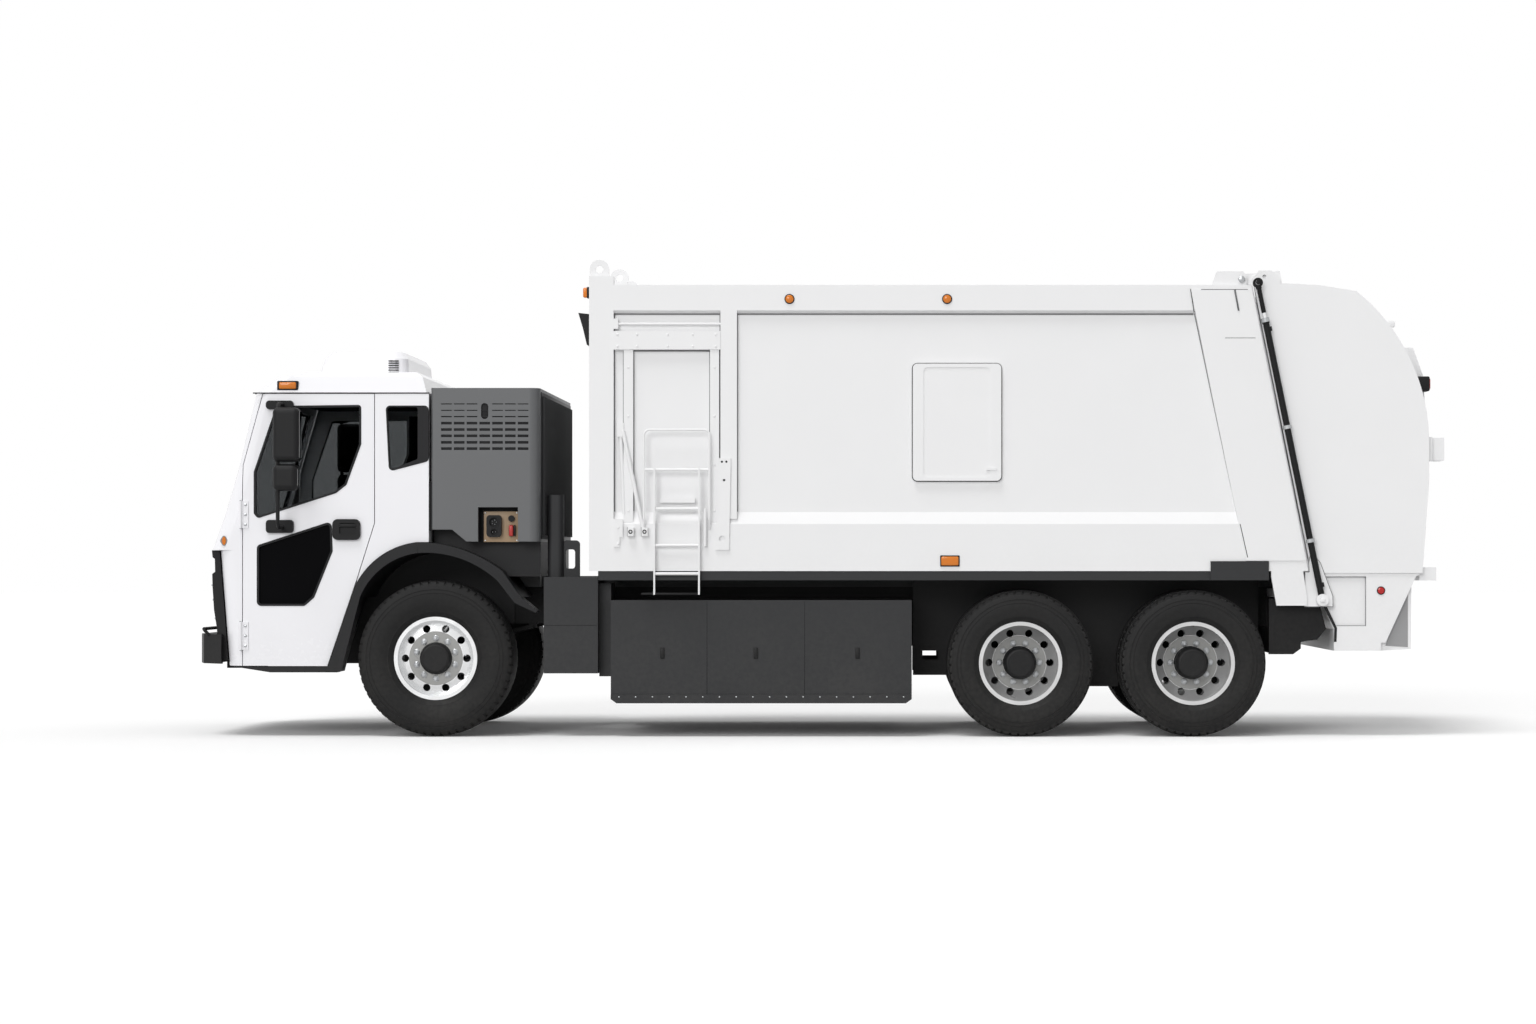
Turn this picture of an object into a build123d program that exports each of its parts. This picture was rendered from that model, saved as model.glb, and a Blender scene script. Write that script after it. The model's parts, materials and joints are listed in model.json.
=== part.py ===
# A three-axle rear-loading refuse truck with a battery-electric low-entry cab.
#
# Frame: X runs along the truck (front at -X), Y across it (the driver's side is -Y), Z up.
# The origin lies on the ground, at the middle of the length and of the width.  Millimetres.
#
# Left-hand pieces are drawn and the right-hand ones are their mirror images, apart from the
# access ladder, the charging inlet and the inspection cover, which are on the driver's side only.
import math
import os
from build123d import *

os.makedirs("parts", exist_ok=True)

# ---------------------------------------------------------------- driving dimensions
overallLength = 9010.0
halfLength = overallLength / 2
halfWidth = 1240.0            # over the body posts and the outer tyre walls
gap = 6.0                     # panel gap round doors
runFit = 0.05                 # radial clearance of a running fit

# wheels
frontAxleX, frontTyreR, frontTyreW = -2750.0, 562.0, 420.0
rearAxleXs, rearTyreR, rearTyreW = (1449.0, 2688.0), 526.0, 280.0
rimSeatR, rimFlangeR, rimWall = 285.75, 299.0, 14.0
frontRimW, rearRimW = 330.0, 210.0
frontTrackHalf = halfWidth - frontTyreW / 2
dualOffset = 171.0            # from the mounting plane to each twin tyre's centre
dualPlaneY = halfWidth - rearTyreW / 2 - dualOffset
handHoleCircleR, handHoleR, handHoleCount = 221.0, 27.0, 10
kingpinY = 905.0
hubR, spindleR, halfshaftR = 110.0, 60.0, 45.0

# chassis
railOuterY, railFlange, railWeb = 430.0, 85.0, 12.0
armY = (railOuterY - railFlange, railOuterY - 5)         # what hangs on or under the rails
axleEndZ, forkGap, forkPlate = (518.0, 640.0), 8.0, (70.0, 52.0)
pinR = 22.0
railTop, railHeight = 1070.0, 270.0
railFrontX, railRearX = -4175.0, 3560.0
tunnelHalf, tunnelTop, tunnelWall = 480.0, 1110.0, 30.0   # the cab floor's cover over the rails

# cab
cabHalfWidth, cabWall = 1190.0, 60.0
cabRearX, gutterZ = -2800.0, 2467.0
cabFront = [(-4055, gutterZ), (-4183, 1925), (-4281, 1591), (-4371, 1340)]
chinTopX, chinBottomX, cabBottomZ = -4311.0, -4247.0, 509.0
cabCornerR = 110.0
archFootX, archFootZ = -3536.0, 469.0
archTopX, archTopZ = -2880.0, 1397.0
doorFront = [(-3996, gutterZ), (-4140, 1949), (-4140, cabBottomZ)]
doorRear = [(-3536, 469), (-3314, 1125), (-3186, 1533), (-3186, gutterZ)]
glassThick = 8.0
screenHalf, screenZ = 1050.0, (1470.0, 2400.0)
roofTopZ, unitTopZ = 2622.0, 2795.0
seatY = 800.0
hingePinX, hingePinY = -4149.0, cabHalfWidth + 14.0

# box behind the cab
boxX, boxZ, boxHalf = (-2784.0, -2006.0), (1401.0, 2504.0), 1185.0

# body
postX, postTopZ, lugR, lugHoleR, lugThick = (-1644.0, -1469.0), 3303.0, 69.0, 27.0, 25.0
bodyTopZ, bodyFloorZ, bodyFloorThick = 3239.0, 1189.0, 60.0
chordZ, sheetFootZ, railTopZ = 3057.0, 1612.0, 1526.0
sheetY, wallInnerY, postInnerY = halfWidth - 40, halfWidth - 75, halfWidth - 100
skirtY = halfWidth - 34         # inner face of the skirts and of what the lift cylinders stand on
seamTopX, seamSlope = 3113.0, 0.2      # the body's rear end leans: it runs back going down
sillBottomZ = 1123.0
bolsterProud = 8.0
cylinderRoom = 14.0           # the outer skin stops this far short of the seam, for the lift cylinder

# tailgate
hingeX, hingeZ, hingePinR, hingeEarR = 3034.0, 3281.0, 18.0, 36.0
gateGap = 12.0
gateSideY = (halfWidth - 90, halfWidth - 40)
bladePivot = (3554.0, 1842.0)
slideTravel = 700.0
slideDir = (0.383, -0.924)
bladeReach = 400.0
troughR = 412.0
cylinderY, barrelR, rodR = halfWidth + 14, 23.0, 12.0
barrelBase, basePinR = (3608.0, 982.0), 20.0
rodEye = (3146.0, 3253.0)
barrelLength = 2060.0


# ---------------------------------------------------------------- drawing helpers
def outline(points):
    # a closed outline in the plane it will be placed on
    return Polygon(*points, align=None)


def drawn(*edges):
    # a face inside lines and arcs drawn end to end
    return make_face(list(edges))


def sideways(face, y0, y1):
    # an outline drawn in X and Z, given thickness from y0 to y1
    return extrude(Plane.XZ.offset(-y1) * face, amount=y1 - y0, dir=(0, -1, 0))


def along(face, x0, x1):
    # an outline drawn in Y and Z, given length from x0 to x1
    return extrude(Plane.YZ.offset(x0) * face, amount=x1 - x0, dir=(1, 0, 0))


def upright(face, z0, z1):
    # an outline drawn in X and Y, given height from z0 to z1
    return extrude(Plane.XY.offset(z0) * face, amount=z1 - z0, dir=(0, 0, 1))


def block(x0, x1, y0, y1, z0, z1):
    return Pos((x0 + x1) / 2, (y0 + y1) / 2, (z0 + z1) / 2) * Box(abs(x1 - x0), abs(y1 - y0), abs(z1 - z0))


def crossPin(x, z, radius, y0, y1):
    return sideways(Pos(x, z) * Circle(radius), y0, y1)


def bar(start, end, radius):
    start, end = Vector(*start), Vector(*end)
    return extrude(Plane(origin=start, z_dir=end - start) * Circle(radius), amount=(end - start).length)


def tube(points, radius, bend):
    # a bent round tube: straight runs joined by bends
    path = FilletPolyline(*points, radius=bend)
    return sweep(Plane(origin=path @ 0, z_dir=path % 0) * Circle(radius), path=path)


def plan(xFront, xRear, half, frontR, rearR=0.0):
    # a level seen from above, with rounded corners
    face = outline([(xFront, -half), (xRear, -half), (xRear, half), (xFront, half)])
    face = fillet(face.vertices().sort_by(Axis.X)[:2], frontR)
    return fillet(face.vertices().sort_by(Axis.X)[-2:], rearR) if rearR else face


def stacked(levels):
    # straight-sided shells between neighbouring levels; a level is (z, xFront, xRear, half, radii)
    body = None
    for low, high in zip(levels, levels[1:]):
        ends = [Plane.XY.offset(level[0]) * plan(*level[1:]) for level in (low, high)]
        piece = loft(ends, ruled=True)
        body = piece if body is None else body + piece
    return body


def other(solid):
    return mirror(solid, about=Plane.XZ)


def save(node, *solids):
    loose = [s for piece in solids for s in piece.solids()]
    shape = loose[0] if len(loose) == 1 else Compound(children=loose)
    export_step(shape, f"parts/{node}.step")


def pair(node, solid):
    save(node, solid, other(solid))


def leftRight(node, solid):
    save(node + "_left", other(solid))
    save(node + "_right", solid)


def seamX(z, back=0.0):
    # the body's sloping rear end; back moves it towards the tailgate
    return seamTopX + back + seamSlope * (bodyTopZ - z)


def behindSeam(back, y0, y1):
    # everything behind the sloping plane
    return sideways(outline([(seamX(3600, back), 3600), (6000, 3600), (6000, 0), (seamX(0, back), 0)]), y0, y1)


# ---------------------------------------------------------------- cab
cabInner = [(-4055 + cabWall, gutterZ), (-4183 + cabWall, 1925), (-4281 + cabWall, 1591),
            (chinTopX + cabWall, 1340), (chinBottomX + cabWall, cabBottomZ), (-3600, cabBottomZ),
            (-3380, 1130), (-3210, 1330), (-2900, 1460), (cabRearX - cabWall, 1460),
            (cabRearX - cabWall, gutterZ)]


def archOuter():
    # the front wheel arch's outer line, from the foot over the top
    top = (archTopX, archTopZ)
    return [Line((archFootX, archFootZ), (-3328, 1077)), ThreePointArc((-3328, 1077), (-3165, 1281), top)]


def archRegion():
    # everything inside the arch, which the cab and its floor stand clear of
    face = drawn(*archOuter(), Polyline((archTopX, archTopZ), (-2500, archTopZ), (-2500, 200),
                                        (archFootX, 200), (archFootX, archFootZ)))
    return sideways(face, -1300, 1300)


def cabOuter():
    # the cab's outside: rounded front corners, a front that leans back in three flats, a set-back chin
    low = [(cabBottomZ, chinBottomX), (cabFront[-1][1], chinTopX)]
    high = [(z, x) for x, z in reversed(cabFront)]
    solids = [stacked([(z, x, cabRearX, cabHalfWidth, cabCornerR) for z, x in part]) for part in (low, high)]
    return solids[0] + solids[1] - archRegion()


def cabShell():
    return cabOuter() - sideways(outline(cabInner), -cabHalfWidth + cabWall, cabHalfWidth - cabWall)


def screenGlass():
    # the windscreen follows the front, set in from it
    depth = 24.0
    top, bend, foot, last = [(x + depth, z) for x, z in cabFront]
    face = outline([top, bend, foot, last] + [(x + glassThick, z) for x, z in (last, foot, bend, top)])
    sheet = sideways(face, -screenHalf, screenHalf)
    return sheet & block(-5000, -3000, -screenHalf, screenHalf, *screenZ)


def cab():
    shell = cabShell()
    ahead = sideways(outline([(-4600, gutterZ)] + doorFront + [(-4140, 400), (-4600, 400)]), -1300, 1300)
    screenHole = sideways(outline([(-4500, screenZ[0]), (-4150, screenZ[0]), (-4010, screenZ[1]),
                                   (-4500, screenZ[1])]), -screenHalf, screenHalf)
    save("cab_front", (shell & ahead) - screenHole)
    save("windshield", screenGlass())

    behind = outline([(-3186, gutterZ), (-3186, 1533), (-3314, 1125), (-3320, 1000), (-2860, 1000),
                      (-2860, gutterZ)])
    side = shell & sideways(behind, cabHalfWidth - cabWall, cabHalfWidth)
    quarter = fillet(outline([(-3103, 2371), (-2875, 2371), (-2875, 1990), (-3080, 1910)]).vertices(), 25)
    pair("cab_sides", side - sideways(quarter, 1000, 1300))
    pair("quarter_glass", sideways(quarter, cabHalfWidth - 24 - glassThick, cabHalfWidth - 24))
    save("cab_back", shell & block(-2860, cabRearX, -1300, 1300, 1300, gutterZ))
    cabFloor()
    cabRoof()


def cabFloor():
    # a low floor each side of the tunnel that covers the rails, rising over the wheels at the back
    inner = cabHalfWidth - cabWall
    section = outline([(-4184, cabBottomZ), (-3536, cabBottomZ), (-3328, 1077), (-3170, 1268),
                       (archTopX, archTopZ), (-2862, archTopZ), (-2862, 1460), (-2900, 1460), (-3210, 1330),
                       (-3380, 1130), (-3600, 560), (-4184, 560)])
    clear = block(-4300, -3310, -tunnelHalf + tunnelWall, tunnelHalf - tunnelWall, 400, tunnelTop - tunnelWall)
    tunnel = block(-4184, -3330, -tunnelHalf, tunnelHalf, cabBottomZ, tunnelTop) - clear
    save("cab_floor", sideways(section, -inner, inner) - clear + tunnel - archRegion())


def cabRoof():
    # a cap with sloping sides, and the climate unit on it; levels as in stacked()
    cap = stacked([(gutterZ, -4058, -2815, cabHalfWidth, 110), (2585, -3900, -2850, 1150, 110),
                   (roofTopZ, -3715, -2900, 1085, 100)])
    hollow = stacked([(gutterZ, -3990, -2875, 1130, 80), (2550, -3850, -2915, 1095, 80),
                      (2580, -3690, -2950, 1035, 80)])
    unit = stacked([(roofTopZ, -3688, -3020, 690, 120, 90), (2745, -3650, -3030, 680, 120, 90),
                    (unitTopZ, -3600, -3065, 640, 110, 80)])
    save("cab_roof", cap - hollow + unit)


def door():
    front = [(x + gap, z - gap) if i == 0 else (x + gap, z) for i, (x, z) in enumerate(doorFront)]
    rear = [(x - gap, z - gap) if i == 3 else (x - gap, z) for i, (x, z) in enumerate(doorRear)]
    leaf = sideways(outline(front + rear), cabHalfWidth - cabWall, cabHalfWidth) & cabOuter()
    upper = fillet(outline([(-3887, 2364), (-3295, 2371), (-3295, 2101), (-3400, 1813), (-3472, 1757),
                            (-4023, 1580), (-4045, 1605), (-4045, 1899)]).vertices(), 12)
    lower = fillet(outline([(-4023, 1365), (-3507, 1533), (-3500, 1333), (-3631, 1005), (-3695, 949),
                            (-4023, 949)]).vertices(), 22)
    for pane in (upper, lower):
        leaf -= sideways(pane, 1000, 1300)
    for z0, z1 in ((1497, 1691), (623, 824)):       # the hinge leaves with their knuckles
        strap = block(hingePinX + 14, -4095, cabHalfWidth, cabHalfWidth + 8, z0, z1)
        knuckle = upright(Pos(hingePinX, hingePinY) * Circle(11), z0, z1)
        arm = block(hingePinX, hingePinX + 16, cabHalfWidth + 3, cabHalfWidth + 14, z0, z1)
        leaf += strap + knuckle + arm
    # the handle: a rounded cup with a pull bar across it
    cup = fillet(outline([(-3487, 1560), (-3291, 1560), (-3291, 1413), (-3487, 1413)]).vertices(), 36)
    hollow = fillet(outline([(-3440, 1535), (-3315, 1535), (-3315, 1450), (-3440, 1450)]).vertices(), 20)
    handle = sideways(cup, cabHalfWidth, cabHalfWidth + 24)
    handle -= sideways(hollow, cabHalfWidth + 10, cabHalfWidth + 30)
    handle += block(-3440, -3315, cabHalfWidth + 8, cabHalfWidth + 22, 1505, 1525)
    leftRight("door", leaf + handle)
    glassY = cabHalfWidth - 24
    leftRight("door_glass", sideways(upper, glassY - glassThick, glassY)
              + sideways(lower, glassY - glassThick, glassY))


def mirrors():
    mastY, mastX = 1385.0, -3848.0
    mast = tube([(mastX, cabHalfWidth, 2382), (mastX, mastY, 2382), (mastX, mastY, 1500),
                 (mastX, cabHalfWidth, 1500)], 14, 60)
    brackets = Part()
    for z0, z1 in ((2350, 2412), (1462, 1556)):
        foot = block(-3965, -3768, cabHalfWidth, cabHalfWidth + 26, z0, z1)
        brackets += fillet(foot.edges().filter_by(Axis.Y), 24)
    main = fillet(block(-3878, -3688, 1310, 1450, 1968, 2352).edges(), 38)
    wide = fillet(block(-3878, -3700, 1310, 1450, 1760, 1950).edges(), 42)
    leftRight("mirror", mast + brackets + main + wide)


def cabInside():
    inner = cabHalfWidth - cabWall - 4
    dash = sideways(outline([(-4195, 1440), (-4000, 1440), (-3935, 1330), (-3975, 1160), (-4150, 1120),
                             (-4200, 1120)]), -inner, inner)
    column = bar((-4030, -seatY, 1332), (-3835, -seatY, 1476), 28)
    wheelPlane = Plane(origin=(-3830, -seatY, 1480), x_dir=(0, 1, 0), z_dir=(230, 0, 170))
    rim = wheelPlane * Torus(205, 14)
    spokes = wheelPlane * (Box(400, 30, 12) + Cylinder(50, 30))
    save("dashboard", dash + column + rim + spokes)

    cushion = fillet(block(-3830, -3390, seatY - 250, seatY + 250, 1130, 1250).edges(), 30)
    back = sideways(outline([(-3450, 1240), (-3350, 1240), (-3210, 1930), (-3310, 1950)]),
                    seatY - 245, seatY + 245)
    stand = sideways(outline([(-3740, 1140), (-3740, 560), (-3612, 560), (-3394, 1127), (-3394, 1140)]),
                     seatY - 190, seatY + 190)
    pair("seats", cushion + back + stand)


# ---------------------------------------------------------------- chassis
def chassisFrame():
    rail = block(railFrontX, railRearX, railOuterY - railFlange, railOuterY, railTop - railHeight, railTop)
    rail -= block(railFrontX - 1, railRearX + 1, 0, railOuterY - railWeb, railTop - railHeight + railWeb,
                  railTop - railWeb)
    frame = rail + other(rail)
    crossY, middle, height = railOuterY - railWeb, 940.0, 180.0
    for x in (-4100, -3450, -2350, -1500, -820, 700, 2068, 3420):
        frame += block(x - 6, x + 6, -crossY, crossY, middle - height / 2, middle + height / 2)
        for z in (middle - height / 2, middle + height / 2 - 10):
            frame += block(x - 40, x + 6, -crossY, crossY, z, z + 10)

    # air tanks slung under the rails ahead of the tandem
    for y in (-230, 230):
        tank = Pos(835, y, 715) * Rot(0, 90, 0) * Cylinder(100, 330)
        frame += fillet(tank.edges(), 30)
        for x in (740, 900):
            frame += block(x, x + 40, min(y, y * 1.7), max(y, y * 1.7), 786, 800)

    # the rear underrun beam on its two brackets
    bracket = outline([(3236, 812), (3560, 812), (3560, 800), (3640, 765), (3574, 698), (3455, 685), (3455, 634),
                       (3400, 593), (3236, 593)])
    hanger = sideways(bracket, railOuterY - railFlange, railOuterY)
    underrunY = gateSideY[0] - 20
    beam = block(3240, 3400, -underrunY, underrunY, 600, 780)
    beam -= block(3250, 3390, -underrunY - 1, underrunY + 1, 590, 770)
    cheek = sideways(outline([(3240, 990), (3596, 990), (3650, 775), (3588, 696), (3469, 678), (3469, 631),
                              (3414, 590), (3240, 590)]), underrunY - 40, underrunY)
    save("chassis_frame", frame + hanger + other(hanger) + beam + cheek + other(cheek))


def bumper():
    outer = outline([(-halfLength, 820), (-halfLength + 60, 1040), (-4290, 1200), (-4290, -1200),
                     (-halfLength + 60, -1040), (-halfLength, -820)])
    inner = outline([(-halfLength + 14, 812), (-halfLength + 72, 1028), (-4280, 1184), (-4280, -1184),
                     (-halfLength + 72, -1028), (-halfLength + 14, -812)])
    shell = upright(outer, 523, 734) - upright(inner, 537, 720)
    shell -= block(-4360, -4200, -1126, 1126, 520, 740)
    for y in (-620, 620):                           # towing eyes through the face
        shell -= block(-4600, -4450, y - 70, y + 70, 580, 680)
    # the arms run back under the cab's front and up to the rail ends
    arm = block(-4400, -4260, *armY, 470, 537) + block(-4262, -4110, *armY, 465, 503)
    arm += block(railFrontX, -4110, *armY, 503, railTop - railHeight)
    guard = tube([(-4400, 1080, 728), (-4440, 1080, 772), (-4440, -1080, 772), (-4400, -1080, 728)], 12, 20)
    save("front_bumper", shell + arm + other(arm) + guard)


def grillePanel():
    face = outline([(-4371, 1338), (-4316, 1338), (-4254, 545), (-4318, 545), (-4336, 782), (-4356, 910),
                    (-4366, 1069), (-4369, 1168), (-4348, 1184), (-4350, 1276), (-4366, 1288)])
    panel = sideways(face, -1120, 1120)
    for row in range(7):                            # air slots between blades
        z = 690 + 66 * row
        panel -= block(-4420, -4322, -430, 430, z, z + 38)
    lamp = block(-4420, -4320, 640, 1010, 800, 980)
    save("grille_panel", panel - lamp - other(lamp))
    bowl = sideways(outline([(-4338, 800), (-4320, 800), (-4320, 980), (-4356, 980), (-4356, 910)]), 640, 1010)
    pair("headlamps", bowl)


def frontFenders():
    outer = archOuter() + [ThreePointArc((archTopX, archTopZ), (-2545, 1338), (-2268, 1189)),
                           Polyline((-2268, 1189), (-2142, 1007), (-2017, 904), (-2030, 890))]
    inner = [Polyline((-2030, 890), (-2180, 960), (-2300, 1115)),
             ThreePointArc((-2300, 1115), (-2565, 1277), (-2880, 1318)),
             ThreePointArc((-2880, 1318), (-3120, 1220), (-3290, 1000)),
             Polyline((-3290, 1000), (-3425, archFootZ), (archFootX, archFootZ))]
    ring = drawn(*outer, *inner)
    under = drawn(*outer[:3], Polyline((-2268, 1189), (-2268, 200), (archFootX, 200), (archFootX, archFootZ)))
    arch = sideways(ring, 1050, cabHalfWidth + 30)
    # the wheel house: its roof over the tyre and its inner wall beside the rail
    wallY = railOuterY + 6
    liner = sideways(ring, wallY, 1050) & block(-3400, -2000, 400, 1100, 1000, 1500)
    liner += sideways(under, wallY, wallY + 8) & block(-3500, -2200, 400, 500, railTop - railHeight, 1500)
    # the tray between the arch and the box behind the cab
    tray = sideways(outline([(-2780, 1487), (-2633, 1487), (-2530, 1401), (-2012, 1401), (-2012, 1150),
                             (-2780, 1150)]), railOuterY - 5, 1040)
    tray -= sideways(under, 0, 1300)
    sill = sideways(outline([(-4205, 503), (-3937, 461), (-3457, 461), (-3440, 503)]), 1050, cabHalfWidth - 4)
    pair("front_fenders", arch + liner + tray + sill)


def powerBox():
    face = outline([(boxX[0], boxZ[1]), (boxX[1], boxZ[1]), (boxX[1], boxZ[0]), (-2530, boxZ[0]),
                    (-2633, 1487), (boxX[0], 1487)])
    case = sideways(face, -boxHalf, boxHalf)
    corners = case.edges().filter_by(Axis.Z).sort_by(Axis.X)
    case = fillet(corners[-2:], 70)
    case = fillet(case.edges().filter_by(Axis.Z).sort_by(Axis.X)[:2], 22)
    case -= block(-2447, -2160, -boxHalf - 1, -boxHalf + 90, 1395, 1648)

    # rows of air slots in both sides round an oval hand hole
    slotLength, slotPitch, firstX, holeX = 77.0, 91.7, -2712.0, -2399.0
    rows = [(2389, 7), (2343, 7), (2298, 9), (2251, 19), (2205, 19), (2160, 19), (2113, 19), (2068, 19)]
    for z, height in rows:                          # each row's height above the ground and its slot's height
        for column in range(7):
            x = firstX + slotPitch * column
            beside = abs(x + slotLength / 2 - holeX) < slotPitch / 2 and z > 2280
            if not beside:
                case -= block(x, x + slotLength, boxHalf - 30, boxHalf + 1, z - height / 2, z + height / 2)
                case -= block(x, x + slotLength, -boxHalf - 1, -boxHalf + 30, z - height / 2, z + height / 2)
    hole = sideways(Pos(holeX, 2338) * Rot(0, 0, 90) * SlotOverall(115, 52), boxHalf - 40, boxHalf + 1)
    feet = block(-2700, -2080, *armY, railTop, boxZ[0])
    save("power_box", case - hole - other(hole) + feet + other(feet))

    panel = block(-2414, -2162, -boxHalf + 70, -boxHalf + 90, 1397, 1619)
    plug = fillet(block(-2390, -2283, -boxHalf + 28, -boxHalf + 70, 1433, 1591).edges().filter_by(Axis.Y), 26)
    plug -= crossPin(-2336, 1540, 34, -boxHalf + 20, -boxHalf + 50)
    plug -= crossPin(-2336, 1470, 22, -boxHalf + 20, -boxHalf + 50)
    knob = crossPin(-2213, 1567, 23, -boxHalf + 50, -boxHalf + 70)
    pull = fillet(block(-2230, -2199, -boxHalf + 40, -boxHalf + 70, 1440, 1519).edges().filter_by(Axis.Y), 10)
    save("charge_port", panel + plug + knob + pull)


def batteryBoxes():
    y0, y1 = railOuterY + 30, halfWidth - 15
    x0, x1, z0, z1, cut = -1490.0, 668.0, 241.0, 980.0, 42.0
    foot = [(x1, z0 + 30), (x1 - cut, z0), (x0 + cut, z0), (x0, z0 + 30)]
    case = sideways(outline([(x0, z1), (x1, z1)] + foot), y0, y1)
    flange = sideways(outline([(x0, 304), (x1, 304)] + foot), y1, y1 + 12)
    hangers = Part()
    for x in (-1250, -410, 430):
        hangers += block(x - 40, x + 40, railOuterY, y0, 820, z1)
    pair("battery_boxes", case + flange + hangers)

    # the box ahead of them; an upright pipe and a looped bracket stand on the driver's side one
    top = 1146.0
    side = block(-1970, -1583, y0 + 200, y1, 455, top) + block(-1800, -1750, railOuterY, y0 + 200, 850, 950)
    side += block(-1583, x0 - 8, y0 + 300, y1 - 120, 430, 1100)
    pipe = fillet(block(-1968, -1852, -1010, -900, top, 1740).edges().filter_by(Axis.Z), 40)
    loop = outline([(-1860, top), (-1860, 1411), (-1736, 1411), (-1736, top)])
    loop = fillet(loop.vertices().sort_by(Axis.Y)[-2:], 30)
    loop -= fillet(outline([(-1839, 1207), (-1839, 1345), (-1770, 1345), (-1770, 1207)]).vertices(), 20)
    save("side_boxes", other(side) + pipe + sideways(loop, -970, -940), side)


def frontAxle():
    x = frontAxleX
    beam = block(x - 50, x + 50, -760, 760, 500, 600)
    for near, far in ((x - 60, x - 15), (x + 15, x + 60)):     # the beam's I section
        beam -= block(near, far, -700, 700, 518, 582)
    ends = block(x - 50, x + 50, 740, kingpinY - 55, *axleEndZ)
    ends += upright(Pos(x, kingpinY) * Circle(48), *axleEndZ)
    ends += block(x - 42, x + 42, kingpinY - 65, kingpinY, axleEndZ[0] + 20, axleEndZ[1] - 20)
    ends -= upright(Pos(x, kingpinY) * Circle(pinR + runFit), 400, 800)
    spring = sideways(outline([(-3105, 750), (-2960, 690), (-2840, 640), (-2660, 640), (-2400, 696),
                               (-2130, 772), (-2130, 796), (-2400, 730), (-2650, 698), (-2850, 698),
                               (-2970, 722), (-3105, 775)]), 350, 440)
    seat = block(x - 90, x + 90, 350, 440, 590, 640)
    hanger = block(-3105, -3060, 360, 430, 750, railTop - railHeight)
    hanger += block(-2160, -2110, 360, 430, 770, railTop - railHeight)
    side = ends + seat + spring + hanger
    save("front_axle", beam + side + other(side))


def tandem():
    middle = sum(rearAxleXs) / 2
    housing = Part()
    for x in rearAxleXs:
        housing += crossPin(x, rearTyreR, 70, -700, 700)
        housing += Pos(x, 0, rearTyreR) * Sphere(200)
        housing += crossPin(x, rearTyreR, halfshaftR, -dualPlaneY - 60, dualPlaneY + 60)
    beam = sideways(outline([(rearAxleXs[0] - 90, 480), (rearAxleXs[0], 430), (rearAxleXs[1], 430),
                             (rearAxleXs[1] + 90, 480), (rearAxleXs[1] + 90, 560), (middle + 120, 640),
                             (middle - 120, 640), (rearAxleXs[0] - 90, 560)]), 440, 560)
    saddle = sideways(outline([(middle - 260, railTop - 30), (middle + 260, railTop - 30),
                               (middle + 110, 600), (middle - 110, 600)]), railOuterY, 520)
    save("tandem_axles", housing + beam + other(beam) + saddle + other(saddle))


def driveMotor():
    motor = Pos(-300, 0, 760) * Rot(0, 90, 0) * Cylinder(230, 760)
    gearbox = Pos(220, 0, 760) * Rot(0, 90, 0) * Cylinder(150, 300)
    shaft = bar((360, 0, 740), (rearAxleXs[0] - 206, 0, 560), 50)
    link = bar((rearAxleXs[0] + 201, 0, 540), (rearAxleXs[1] - 201, 0, 540), 45)
    cradle = block(-560, -500, -418, 418, 812, 850) + block(-60, 0, -418, 418, 812, 850)
    save("drive_motor", motor + gearbox + shaft + cradle, link)


# ---------------------------------------------------------------- wheels
def onAxle(x, y, z, shape):
    # turns a shape drawn round Z so that its +Z end points outboard on the right-hand side
    return Pos(x, y, z) * Rot(-90, 0, 0) * shape


def turned(points):
    # a ring from a half section drawn as radius and height
    return revolve(Plane.XZ * outline(points), Axis.Z, 360)


def tyreRing(radius, width, rimWidth):
    half, seat = width / 2, rimWidth / 2 - 14
    wall, bead = 26.0, rimSeatR + 0.5
    mid = (radius + rimSeatR) / 2
    section = [(bead, -seat), (rimFlangeR + 4, -seat), (mid - 20, -half), (mid + 60, -half + 4),
               (radius - 26, -half + 20), (radius, -half + 46), (radius, half - 46), (radius - 26, half - 20),
               (mid + 60, half - 4), (mid - 20, half), (rimFlangeR + 4, seat), (bead, seat),
               (bead, seat - 30), (mid, half - wall), (radius - 2 * wall, half - wall - 30),
               (radius - 2 * wall, -half + wall + 30), (mid, -half + wall), (bead, -seat + 30)]
    return turned(section)


def rimRing(width):
    half = width / 2
    return turned([(rimSeatR - rimWall, -half), (rimFlangeR, -half), (rimFlangeR, -half + 11),
                   (rimSeatR, -half + 12), (rimSeatR, half - 12), (rimFlangeR, half - 11), (rimFlangeR, half),
                   (rimSeatR - rimWall, half)])


def wheelDisc(flatZ, edgeZ, flatR=197.0, thick=20.0):
    # the disc's flat centre and the cone out to the rim, with its hand holes
    edgeR = rimSeatR - rimWall + 2
    disc = turned([(0, flatZ - thick), (flatR, flatZ - thick), (edgeR, edgeZ - thick), (edgeR, edgeZ),
                   (flatR, flatZ), (0, flatZ)])
    holes = PolarLocations(handHoleCircleR, handHoleCount) * Cylinder(handHoleR, 800)
    return disc - holes


def frontWheels():
    for side, y in (("left", -frontTrackHalf), ("right", frontTrackHalf)):
        flip = Rot(180, 0, 0) if side == "left" else Rot(0, 0, 0)
        tyre = tyreRing(frontTyreR, frontTyreW, frontRimW)
        save("tyre_front_" + side, onAxle(frontAxleX, y, frontTyreR, flip * tyre))
        hub = turned([(spindleR, -20), (hubR, -20), (hubR, 150), (hubR - 12, 196), (0, 196), (0, 120),
                      (spindleR, 120)])
        wheel = rimRing(frontRimW) + wheelDisc(142, 112) + hub
        save("wheel_front_" + side, onAxle(frontAxleX, y, frontTyreR, flip * wheel))
    leftRight("knuckle", Pos(frontAxleX, 0, 0) * knuckle())


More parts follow.
